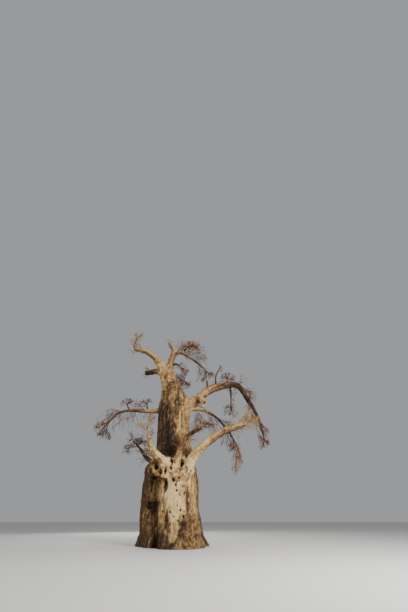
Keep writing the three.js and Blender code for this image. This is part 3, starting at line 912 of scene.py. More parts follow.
BOUGHS = (
    BoughPlan("bough_front_left", 235, 92, ((-300, -640, 2960), (-880, -840, 3430), (-1200, -920, 3780),
        (-1448, -1000, 4443)), end=End.BROKEN, tone=0.9, tip_tone=0.74, lumps=0.26,
        swells=((0.34, 0.1, 0.16), (0.62, 0.06, 0.08))),
    BoughPlan("bough_front_centre", 205, 62, ((-110, -660, 2760), (46, -900, 3623), (430, -1100, 4334),
        (970, -1200, 4606)), tone=0.6, tip_tone=0.2, lumps=0.26, swells=((0.3, 0.08, 0.12),)),
    BoughPlan("bough_front_right", 285, 108, ((200, -430, 2480), (620, -700, 3360), (1159, -950, 3918),
        (1957, -1150, 4436), (3077, -1450, 4802)), end=End.BROKEN, tone=0.9, tip_tone=0.6, lumps=0.12,
        swells=((0.97, 0.04, 0.16),)),
    BoughPlan("bough_high_right", 320, 48, ((-150, 500, 5850), (690, 595, 6420), (1373, 750, 7041),
        (2054, 900, 7347), (3120, 1010, 7450), (3613, 1050, 6708), (4100, 950, 5750), (4320, 850, 4780)),
        tone=0.56, tip_tone=0.02, lumps=0.2, split=0.55, split_node="bough_high_right_drooping"),
    BoughPlan("stub_under_high_right", 165, 132, ((860, 600, 6600), (1046, 120, 6431), (1205, -100, 6162)),
        end=End.BROKEN, tone=0.72, tip_tone=0.6, swells=((0.96, 0.1, 0.14),)),
    BoughPlan("bough_middle_right", 112, 42, ((0, 380, 5550), (620, 20, 5860), (1154, -200, 5774),
        (1868, -150, 5385), (2480, -50, 4660)), tone=0.84, tip_tone=0.08),
    BoughPlan("bough_long_left", 125, 50, ((-900, 500, 5900), (-1900, 560, 5910), (-2889, 650, 5969),
        (-3368, 700, 5849), (-3700, 700, 5534)), tone=0.64, tip_tone=0.2),
    BoughPlan("bough_top_left", 255, 95, ((-810, 470, 7650), (-1225, 355, 8370), (-1594, 200, 8813),
        (-2100, 0, 9090), (-2696, -250, 9169)), end=End.BROKEN, tone=0.66, tip_tone=0.6, lumps=0.2,
        swells=((0.45, 0.05, 0.12), (0.97, 0.05, 0.12))),
    BoughPlan("bough_top_centre", 250, 58, ((-825, 500, 7851), (-656, 500, 9002), (-601, 500, 9445),
        (-880, 500, 9860)), tone=0.5, tip_tone=0.5),
    BoughPlan("bough_top_arc", 125, 36, ((-702, 500, 8754), (-300, 580, 9310), (261, 750, 9150),
        (1200, 940, 8480)), tone=0.46, tip_tone=0.3),
    BoughPlan("spur_top_right", 62, 46, ((-80, 640, 9280), (80, 690, 9560)), tone=0.5),
    BoughPlan("bough_top_under", 64, 38, ((-738, 450, 8428), (-387, 300, 8489), (-120, 220, 8300)),
        tone=0.5),
    BoughPlan("stub_top_left", 190, 130, ((-1005, 500, 8028), (-1493, 700, 8193), (-2150, 1000, 8214)),
        end=End.BROKEN, tone=0.68, tip_tone=0.3, lumps=0.26),
    BoughPlan("spur_crest_outer", 60, 26, ((1880, 880, 7340), (1897, 900, 7996), (2200, 900, 8600)),
        end=End.BLUNT, tone=0.08),
    BoughPlan("spur_crest_inner", 68, 48, ((1410, 760, 7080), (1375, 750, 7640)), end=End.BLUNT, tone=0.1),
    BoughPlan("spur_crest_tip", 64, 44, ((2480, 960, 7400), (2540, 980, 7720)), tone=0.14),
    BoughPlan("bough_hanging", 58, 40, ((2690, 1000, 7440), (2718, 1000, 6806), (2702, 1000, 6430)),
        tone=0.06),
    BoughPlan("spur_long_left_inner", 48, 36, ((-1800, 560, 5910), (-1860, 560, 6160))),
    BoughPlan("spur_long_left_outer", 46, 34, ((-2800, 645, 5960), (-2920, 630, 6180))),
    BoughPlan("bough_back_left", 160, 70, ((-1000, 800, 3250), (-1700, 1250, 3640), (-2200, 1500, 4180))),
    BoughPlan("bough_back_right", 200, 85, ((-100, 900, 4450), (400, 1800, 4900), (900, 2700, 5600))),
    BoughPlan("bough_back_middle", 205, 85, ((-500, 800, 5250), (-750, 1900, 5700), (-800, 2800, 6300))),
    BoughPlan("bough_back_top", 150, 70, ((-600, 600, 6950), (-350, 1400, 7400), (-100, 2000, 8000))),
)
RED, DARK, STRAW = Tint
MASSES = (
    MassPlan("twigs_front_left", "bough_front_left", (-1500, -1000, 4900), (640, 560, 650), -0.25, 13,
        (STRAW, RED, STRAW, STRAW, DARK), 0.5, 0.45),
    MassPlan("twigs_front_centre", "bough_front_centre", (1130, -1250, 4760), (420, 400, 380), 0.1, 6,
        (DARK, RED, STRAW)),
    MassPlan("twigs_front_right", "bough_front_right", (3440, -1430, 4960), (560, 560, 560), -0.1, 15,
        (STRAW, RED, STRAW), 0.3, 0.4),
    MassPlan("twigs_high_right", "bough_high_right_drooping", (4260, 850, 4480), (400, 520, 560), 0.5, 12,
        (RED, DARK, RED)),
    MassPlan("twigs_middle_right", "bough_middle_right", (2700, -50, 3700), (420, 480, 1230), 1, 13,
        (RED, RED, DARK)),
    MassPlan("twigs_long_left", "bough_long_left", (-4060, 700, 4990), (600, 640, 660), 0.7, 12,
        (RED, DARK, RED)),
    MassPlan("twigs_top_left", "bough_top_left", (-2580, -270, 9640), (620, 600, 600), -0.2, 16,
        (STRAW, STRAW, STRAW, RED), 0.4, 0.3),
    MassPlan("twigs_top_centre", "bough_top_centre", (-930, 500, 9960), (310, 310, 230), 0, 8,
        (STRAW, RED)),
    MassPlan("twigs_top_right", "spur_top_right", (330, 750, 9670), (760, 700, 620), 0.1, 22,
        (RED, RED, DARK)),
    MassPlan("twigs_top_arc", "bough_top_arc", (1330, 1000, 8120), (520, 560, 620), 0.4, 12),
    MassPlan("twigs_top_under", "bough_top_under", (60, 150, 8140), (380, 380, 320), 0.2, 10,
        (RED, RED, DARK)),
    MassPlan("twigs_crest", "spur_crest_tip", (2640, 1000, 7900), (600, 600, 320), 0, 12, (DARK, RED)),
    MassPlan("twigs_hanging", "bough_hanging", (2690, 1000, 6080), (540, 540, 500), 0.6, 9,
        (DARK, DARK, DARK, RED)),
    MassPlan("twigs_long_left_inner", "spur_long_left_inner", (-1900, 560, 6330), (480, 480, 310), -0.2, 9),
    MassPlan("twigs_long_left_outer", "spur_long_left_outer", (-2980, 620, 6360), (490, 480, 330), -0.1, 9),
    MassPlan("twigs_back_left", "bough_back_left", (-2650, 1700, 4520), (860, 800, 720), 0.2, 16),
    MassPlan("twigs_back_right", "bough_back_right", (1100, 3080, 5850), (850, 800, 700), 0.1, 16),
    MassPlan("twigs_back_middle", "bough_back_middle", (-850, 3180, 6550), (850, 800, 700), 0.1, 16),
    MassPlan("twigs_back_top", "bough_back_top", (-40, 2300, 8260), (760, 720, 620), 0, 16),
)
SHOOTS = (
    ShootPlan("bough_front_left", 0.25, 0.96, 26, 420, -0.1, (RED, DARK, STRAW), (-0.6, 0, 0.3)),
    ShootPlan("bough_front_centre", 0.4, 0.97, 16, 320, 0.1, (RED, STRAW)),
    ShootPlan("bough_front_right", 0.75, 0.9, 8, 340, 0.1, (STRAW, RED)),
    ShootPlan("bough_front_right", 0.88, 0.99, 18, 700, 0, (STRAW, STRAW, RED), (0.6, 0, 0.6)),
    ShootPlan("bough_high_right", 0.2, 0.4, 12, 340, 0.1, (DARK, RED)),
    ShootPlan("bough_high_right", 0.38, 0.54, 30, 420, -0.1, (DARK, RED, DARK), (0, 0, 0.9)),
    ShootPlan("bough_high_right_drooping", 0.56, 0.66, 14, 420, 0, (DARK, RED), (0, 0, 0.9)),
    ShootPlan("bough_high_right_drooping", 0.6, 0.97, 34, 480, 0.6, (DARK, RED), (0, 0, -0.3)),
    ShootPlan("bough_high_right_drooping", 0.57, 0.98, 30, 420, 0.6, (DARK, RED, RED), (0, 0, -0.2)),
    ShootPlan("bough_middle_right", 0.22, 0.6, 16, 420, 0.1, (RED, DARK, STRAW), (0, 0, 0.1)),
    ShootPlan("bough_middle_right", 0.55, 0.97, 22, 760, 1, (RED, DARK), (0, 0, -0.6)),
    ShootPlan("bough_long_left", 0.22, 0.6, 16, 460, 0.2, (RED, DARK, RED), (0, 0, 0.5)),
    ShootPlan("bough_long_left", 0.5, 0.98, 26, 820, 0.9, (RED, DARK, RED), (0, 0, -0.4)),
    ShootPlan("bough_top_left", 0.7, 0.9, 8, 360, -0.1, (STRAW, STRAW, RED)),
    ShootPlan("bough_top_left", 0.88, 0.99, 14, 620, -0.2, (STRAW, STRAW, RED), (0.2, 0, 0.9)),
    ShootPlan("stub_top_left", 0.8, 0.97, 8, 240, 0),
    ShootPlan("bough_top_arc", 0.15, 0.97, 44, 780, 0.3, (RED, RED, DARK), (0.3, 0, 0.5)),
    ShootPlan("bough_top_arc", 0.1, 0.5, 22, 960, -0.1, (RED, RED, STRAW), (0, 0, 1.3)),
    ShootPlan("bough_top_under", 0.35, 0.95, 8, 300, 0.2),
    ShootPlan("bough_top_centre", 0.7, 0.97, 8, 260, 0, (RED, STRAW)),
    ShootPlan("spur_crest_outer", 0.35, 0.97, 7, 260, 0, (DARK,)),
    ShootPlan("bough_hanging", 0.3, 0.96, 8, 300, 0.5, (DARK, RED)),
    ShootPlan("bough_back_left", 0.4, 0.97, 14, 420, 0.1),
    ShootPlan("bough_back_right", 0.4, 0.97, 18, 460, 0.1),
    ShootPlan("bough_back_middle", 0.4, 0.97, 18, 460, 0.1),
    ShootPlan("bough_back_top", 0.45, 0.97, 12, 420, 0.1),
)


@dataclass
class Trunk:
    """The two fused stems, with the roots of the boughs that leave them."""

    tall: Stem = Stem(TALL_STEM, TALL_FURROWS + TALL_FOLDS)
    front: Stem = Stem(FRONT_STEM, FRONT_FURROWS + FRONT_FOLDS)
    ribs: tuple[tuple[Limb, Blend], ...] = (
        (Limb(235, 215, ((720, 0, 380), (640, 80, 1700), (560, 170, 3120))), Blend.CLOSE),
        (Limb(150, 120, ((-1120, 340, 8000), (-985, 300, 7300), (-880, 190, 6700),
                         (-700, -10, 6150))), Blend.RIB),
        (Limb(110, 140, ((-60, 190, 6900), (110, 200, 6380), (270, 240, 5850),
                         (340, 270, 5100))), Blend.RIB),
        (Limb(400, 300, ((-620, -150, 3020), (-880, -420, 3040), (-1080, -620, 2960))), Blend.ROOT),
    )  # the right flank's, those under the top left and high right boughs, and the left knob
    grooves: tuple[Limb, ...] = (
        Limb(150, 60, ((-830, -780, -60), (-790, -760, 700), (-830, -640, 1600))),
        Limb(60, 90, ((540, -1030, 1400), (500, -840, 2050), (478, -760, 2920))),
        Limb(48, 34, ((-290, -1330, 590), (-352, -1270, 930), (-400, -1230, 1270))),
    )  # between the stems at the left, beside the right flank's rib, and the gash in the front
    hollow: tuple[Place, Place, float] = (
        (-1.13, -0.55, 1.66), (0.29, 0.36, 0.44), 1.68,
    )  # middle, half sizes and roof of the one in the left foot, in metres
    low: Place = (-2.3, -1.9, -0.08)  # corners of the field, in metres
    high: Place = (1.95, 2.45, 9)
    root_places: int = 240  # along each bough, where its root is looked for
    root_end: float = 2.1  # how far past the bark a root goes, as a share of its radius
    root_flare: Pair = (0.16, 0.8)  # how much wider at the bark, and how far that goes
    root_slack: Pair = (0.34, 1.2)  # how much thinner at its end, and from where
    root_skip: int = 6  # of those places, the step from one to the next where its tone is worked out
    rope_places: int = 60  # along each rib and groove
    groove_places: int = 24  # along each groove, where its tone is worked out
    rib_share: float = 0.95  # of a rib's radius, the rest being the bark's relief
    hole_depth: float = 0.24
    hole_ragged: float = 0.7
    pit_ragged: float = 0.6
    pit_depth: float = 3.0  # half its depth, in radii
    pit_size: Place = (0.9, 0.5, 1.5)  # least half size, and the spreads of width and height, in radii
    pit_shadow: float = 1.2  # height of its dark tone, in radii
    relief_band: float = 0.16  # how far from the bark its relief is worked out, in metres
    lumps: Rows = (
        (-0.6, -0.8, 2.94, 0.22), (0.47, -0.54, 2.85, 0.23), (-0.92, -0.8, 2.84, 0.2),
        (-0.36, -0.98, 2.84, 0.15), (-1.22, -0.34, 2.76, 0.26), (-0.8, -0.8, 3.3, 0.2),
        (0.28, -0.86, 2.92, 0.15), (0.1, -0.98, 2.7, 0.13), (-1.36, 0.1, 3.02, 0.24),
        (0.62, -0.3, 3.1, 0.2), (-0.25, -0.66, 3.34, 0.19), (0.18, -0.5, 3.46, 0.2),
        (-0.12, -0.94, 3.02, 0.14), (-0.62, -0.98, 2.66, 0.12),
    )  # x, y, z and radius of the knuckles round the fork of the front stem, in metres
    holes: Rows = (
        (0.14, -0.66, 3.13, 0.14, 0.25), (-0.66, -1.04, 3.05, 0.18, 0.1),
        (-0.29, -0.92, 3.12, 0.08, 0.26), (0.38, -0.83, 2.92, 0.09, 0.12),
        (0.6, -0.66, 2.9, 0.06, 0.1), (-0.97, -0.88, 3.04, 0.09, 0.14),
        (-1.1, -0.78, 2.62, 0.15, 0.07), (-0.52, -0.99, 2.86, 0.06, 0.14),
    )  # x, y, z, half width and half height of the hollows among the knuckles
    pits: Rows = (
        (-0.03, -1.22, 2.3, 0.05), (-0.14, -1.18, 2.49, 0.045), (0.02, -1.2, 2.08, 0.055),
        (0.17, -1.2, 1.93, 0.035), (0.06, -1.25, 1.52, 0.035), (0.27, -1.16, 2.24, 0.04),
        (-0.48, -1.05, 2.36, 0.06), (0.21, -1.22, 1.35, 0.045), (0.34, -1.27, 0.84, 0.05),
        (0.36, -1.1, 2.02, 0.035), (-0.52, -1.22, 1.3, 0.045), (0.1, -1.18, 2.6, 0.04),
        (-0.24, -1.28, 1.28, 0.04), (-0.08, -1.32, 1.12, 0.04), (0.34, -1.22, 1.12, 0.045),
        (-0.1, -1.3, 1.72, 0.03), (-0.19, -1.36, 0.82, 0.035), (0.12, -1.36, 0.98, 0.03),
    )  # x, y, z and radius of the pits in the front stem's face
    # Patches of tone: most are the bark's own colour, but the darkest paint shade in the left foot's
    # hollow, at the pits and the gash of the front, and in part on the upper stem's dark left side
    patches: tuple[Patch, ...] = tuple(Patch(*row) for row in (
        ((-0.62, 0, 4.9), (0.75, 0.8, 1.7), 0.08, 0.5), ((-0.35, -0.25, 3.9), (0.55, 0.6, 0.8), 0.03, 0.4),
        ((0.2, 0.15, 5.2), (0.42, 0.9, 1.6), 0.48, 0.6), ((-0.45, 0.1, 6.2), (0.45, 0.6, 0.7), 0.2, 0.6),
        ((-1, 0.2, 7.25), (0.17, 0.5, 0.85), 0.74, 0.5), ((-0.4, 0.1, 7.3), (0.2, 0.5, 0.6), 0.26, 0.5),
        ((-0.95, 0.25, 7.7), (0.4, 0.6, 0.9), 0.52, 0.6), ((-0.6, -0.1, 6.7), (0.5, 0.6, 0.5), 0.36, 0.6),
        ((-0.5, -1, 1.6), (0.34, 0.5, 1.35), 0.62, 0.45),
        ((0.02, -1.2, 1.88), (0.54, 0.55, 1.52), 0.8, 0.5),
        ((0.67, -0.15, 2.05), (0.22, 0.45, 1.2), 0.6, 0.15),
        ((-0.05, -0.9, 2.95), (0.7, 0.5, 0.34), 0.6, 0.6),
        ((-0.44, -1.1, 2.66), (0.14, 0.3, 0.14), 0.95, 0.3),
        ((-0.95, -0.62, 2.95), (0.35, 0.4, 0.3), 0.42, 0.5),
        ((-1.25, -0.3, 2.55), (0.5, 0.6, 0.3), 0.16, 0.4),
        ((-0.5, -1.3, 0.2), (0.64, 0.7, 0.42), 0.08, 0.45),
        ((0.8, -0.85, 0.5), (0.72, 0.8, 0.95), 0.4, 0.6), ((0.38, -1.25, 0.8), (0.15, 0.5, 0.2), 0.1, 0.5),
        ((-0.1, -1.36, 0.56), (0.26, 0.5, 0.36), 0.66, 0.6),
        ((0.3, -1.33, 0.5), (0.17, 0.5, 0.18), 0.14, 0.5),
        ((-0.47, -1.1, 2.36), (0.09, 0.4, 0.25), 0.12, 0.5),
        ((-0.36, -1.28, 0.94), (0.1, 0.4, 0.38), 0.08, 0.5),
        ((0.05, -1.2, 2.52), (0.24, 0.3, 0.1), 0.42, 0.8),
        ((-1.02, -0.45, 1.44), (0.2, 0.4, 0.25), 0.04, 0.1),
        ((-1.24, -0.4, 1.54), (0.22, 0.4, 0.15), 0.04, 0.1),
    ))
    pocked: tuple[Patch, ...] = tuple(Patch(*row) for row in (
        ((0.62, -0.95, 0.85), (0.62, 0.8, 1), 1, 0.4), ((0.22, -1.15, 2.3), (0.26, 0.5, 0.6), 0.7, 0.4),
        ((-0.38, -1.25, 1.1), (0.3, 0.5, 0.55), 0.6, 0.4), ((0, -0.8, 3), (1, 0.6, 0.4), 0.6, 0.4),
    ))
    smooth_face: Patch = Patch((0.02, -1.15, 1.9), (0.5, 0.6, 1.2), 1)
    knuckled: Patch = Patch((-0.35, -0.55, 3), (1.25, 0.85, 0.55), 1)
    swell: Layer = Layer(0.024, (0.55, 0.55, 0.9))  # the layers of its relief, in metres
    long_folds: Layer = Layer(0.064, (0.22, 0.22, 1.1))
    wrinkles: Layer = Layer(0.034, (0.15, 0.15, 0.24))
    gnarls: Layer = Layer(0.15, (0.26, 0.26, 0.22))
    pitted: Layer = Layer(0.05, (0.13, 0.13, 0.13))
    calmed: float = 0.66  # how much of the folds the smooth face loses
    roughened: float = 0.2  # how much rougher the top is, above upper_height
    upper_height: Pair = (3.6, 5)
    stray: Layer = Layer(1, (0.3, 0.3, 0.42))  # how the patches' edges stray
    fine_stray: Layer = Layer(0.8, (0.1, 0.1, 0.34))
    pock_stray: Layer = Layer(1, (0.25, 0.25, 0.35))
    base_tone: float = 0.27
    front_tone: float = 0.15  # added on the front stem
    front_edge: Pair = (-0.04, 0.04)  # how far nearer the front stem's skin that fades in, in metres
    clouds: Layer = Layer(0.16, (0.9, 0.9, 1.6))  # the layers of its tone
    streaks: Layer = Layer(0.16, (0.09, 0.09, 0.75), 3)
    blotches: Layer = Layer(0.13, (0.16, 0.16, 0.16), 3)
    # Painted shade along the grooves between the stems, beside the rib and in the gash
    groove_shade: float = -0.34
    relief_shade: float = 2.2  # painted light and shade: paler for each metre that the bark stands out, darker where it sinks
    # Painted shade in the hollows among the knuckles and in the pits, and how it spreads
    hole_shade: float = -0.8
    hole_reach: float = 0.26  # how far from front to back that painted shade goes, in metres
    hole_edge: Pair = (0.6, 1.15)  # where that tone fades, as shares of the hole's size
    hole_stray: float = 0.4
    root_edge: Pair = (1.05, 1.7)  # where a root's tone fades, as shares of its radius
    hollow_shade_depth: float = 0.03  # metres below its surroundings where the painted shade is darkest
    hollow_shade_rounds: int = 9  # of smoothing that give those surroundings
    seed: int = 5

    def collars(self) -> list[tuple[BoughPlan, Array, Array]]:
        """Finds the roots of the boughs that grow out of the stems.

        Returns:
            The plan, the places and the radii of each.
        """
        roots = []
        for plan in BOUGHS:
            limb = Limb(plan.base, plan.tip, plan.path)
            share = np.linspace(0, 1, self.root_places)
            points = limb.at(share) * MM
            radius = limb.radius(share) * MM
            outside = self.distance(points) > 0
            if outside[0] or not outside.any():
                continue
            leaving = int(np.argmax(outside))
            past = (share - share[leaving]) * limb.length * MM / radius[leaving]
            wider, fading = self.root_flare
            thinner, start = self.root_slack
            flare = wider * np.exp(-np.abs(past) / fading)
            flare = flare - thinner * smooth(start, self.root_end, past)
            kept = past < self.root_end
            roots.append((plan, points[kept], (radius * (1 + flare))[kept]))
        return roots

    def distance(self, points: Array) -> Array:
        """Returns how far each point lies outside both stems, in metres."""
        x, y, z = points.T
        return np.minimum(self.tall.distance(x, y, z), self.front.distance(x, y, z))

    def relief(self, points: Array) -> Array:
        """Works out how far the bark stands out.

        Args:
            points: places on it.

        Returns:
            Metres at each.
        """
        noise = Noise(self.seed)
        folds = self.long_folds.folds(noise, points) + self.wrinkles.folds(noise, points)
        calm = 1 - self.calmed * self.smooth_face.cover(points)
        upper = 1 + self.roughened * smooth(*self.upper_height, points[:, 2])
        rough = self.swell.lumps(noise, points) + folds * calm * upper
        pitted = self.pitted.lumps(noise, points) * self.pocks(points)
        return rough + pitted + self.gnarls.lumps(noise, points) * self.knuckled.cover(points)

    def carved(self) -> Skin:
        """Grows the wood in a field of distances.

        Returns:
            Its surface.
        """
        wood = WoodField(self.low, self.high, FIELD_STEP)
        for stem in (self.tall, self.front):
            top = np.array([*self.high[:2], stem.stations[-1][0] * MM + FIELD_MARGIN])
            window = wood.window(np.array(self.low), top)
            wood.join(stem.distance(*wood.open_grid(window)), window, Blend.CLOSE)
        share = np.linspace(0, 1, self.rope_places)
        for limb in self.grooves:
            wood.rope(limb.at(share) * MM, limb.radius(share) * MM, Blend.GROOVE, True)
        for limb, blend in self.ribs:
            wood.rope(limb.at(share) * MM, limb.radius(share) * MM * self.rib_share, blend)
        for _, points, radii in self.collars():
            wood.rope(points, radii, Blend.ROOT)
        for x, y, z, radius in self.lumps:
            wood.rope(np.array([[x, y, z]]), np.array([radius]), Blend.KNUCKLE)
        wood.hollow(*self.hollow, Blend.CLOSE)
        wood.roughen(self.relief, self.relief_band)
        for x, y, z, wide, high in self.holes:
            half = (wide, self.hole_depth, high)
            wood.hollow((x, y, z), half, z + 2 * high, Blend.CLOSE, self.hole_ragged)
        stream = Stream(self.seed)
        least, wider, higher = self.pit_size
        for x, y, z, radius in self.pits:
            wide, high = least + wider * stream.draw(), least + higher * stream.draw()
            half = radius * np.array([wide, self.pit_depth, high])
            wood.hollow((x, y, z), half, z + 2 * half[2], Blend.PIT, self.pit_ragged)
        return wood.skin()

    def tones(self, skin: Skin) -> Array:
        """Works out the bark's tone, with painted light and shade from its relief, grooves, pits and
        hollows.

        Args:
            skin: its surface.

        Returns:
            The tone at each point, from 0, near black, to 1, palest.
        """
        points = skin.points
        noise = Noise(self.seed + 1)
        stray = self.stray.lumps(noise, points) + self.fine_stray.lumps(noise, points)
        x, y, z = points.T
        nearer = self.tall.distance(x, y, z) - self.front.distance(x, y, z)
        front = smooth(*self.front_edge, nearer)
        tone = self.base_tone + self.front_tone * front + self.clouds.lumps(noise, points)
        for patch in self.patches:
            tone = tone + (patch.tone - tone) * patch.cover(points, stray)
        skip = self.root_skip
        for plan, places, radii in self.collars():
            tone = tone + (plan.tone - tone) * self.rooted(points, places[::skip], radii[::skip])
        # Painted shade along the grooves
        share = np.linspace(0, 1, self.groove_places)
        for limb in self.grooves:
            cover = self.rooted(points, limb.at(share) * MM, limb.radius(share) * MM)
            tone += self.groove_shade * cover
        tone += self.streaks.lumps(noise, points)
        tone += self.blotches.lumps(noise, points)
        # Painted light and shade: raised bark paler, its low places darker
        tone += self.relief_shade * self.relief(points)
        # Painted shade in the pits and the hollows
        hollows = [(x, y, z, radius, radius * self.pit_shadow) for x, y, z, radius in self.pits]
        for x, y, z, wide, high in (*hollows, *self.holes):
            away = np.linalg.norm((points - (x, y, z)) / (wide, self.hole_reach, high), axis=1)
            tone += self.hole_shade * (1 - smooth(*self.hole_edge, away + self.hole_stray * stray))
        return np.clip(tone, 0, 1)

    def rooted(self, points: Array, places: Array, radii: Array) -> Array:
        """Tells how far each point belongs to a bough's root.

        Args:
            points: points of the bark.
            places: places along the root.
            radii: its radius at each.

        Returns:
            Shares, from 0 to 1.
        """
        cover = np.zeros(len(points))
        reach = self.root_edge[1] * radii.max()
        near = np.all((points > places.min(0) - reach) & (points < places.max(0) + reach), axis=1)
        away = np.linalg.norm(points[near, None] - places[None], axis=2) / radii
        cover[near] = 1 - smooth(*self.root_edge, away.min(axis=1))
        return cover

    def pocks(self, points: Array) -> Array:
        """Returns how thickly dark pocks stand at each place, from 0 to 1."""
        stray = self.pock_stray.lumps(Noise(self.seed + 4), points)
        return np.max([patch.tone * patch.cover(points, stray) for patch in self.pocked], axis=0)

    def build(self, bark: Material) -> Thing:
        """Makes the trunk's piece.

        Args:
            bark: its material.

        Returns:
            The object.
        """
        skin = self.carved()
        skin.points = skin.relaxed(skin.points, 1)
        skin.points[:, 2] = np.maximum(skin.points[:, 2], 0)
        skin.marks["tone"] = self.tones(skin)
        skin.marks["pocks"] = self.pocks(skin.points)
        # Painted shade: the bark darkens where it lies below its surroundings
        skin.marks["grime"] = np.clip(skin.depth(self.hollow_shade_rounds) / self.hollow_shade_depth, -1, 1)
        skin.marks["grain"] = skin.points.copy()
        return skin.make("trunk_bark", [bark])


def turning_frames(points: Array) -> tuple[Array, Array, Array]:
    """Carries two square directions along a line without twisting them.

    Args:
        points: close places along it.

    Returns:
        The directions ahead, across and up at each place.
    """
    ahead = unit(np.gradient(points, axis=0))
    across = np.zeros_like(points)
    start = np.cross(ahead[0], (0.0, 0.0, 1.0))
    if np.linalg.norm(start) < 0.05:
        start = np.cross(ahead[0], (0.0, 1.0, 0.0))
    across[0] = unit(start)
    for i in range(1, len(points)):
        kept = across[i - 1] - ahead[i] * np.dot(across[i - 1], ahead[i])
        across[i] = unit(kept)
    return ahead, across, np.cross(ahead, across)


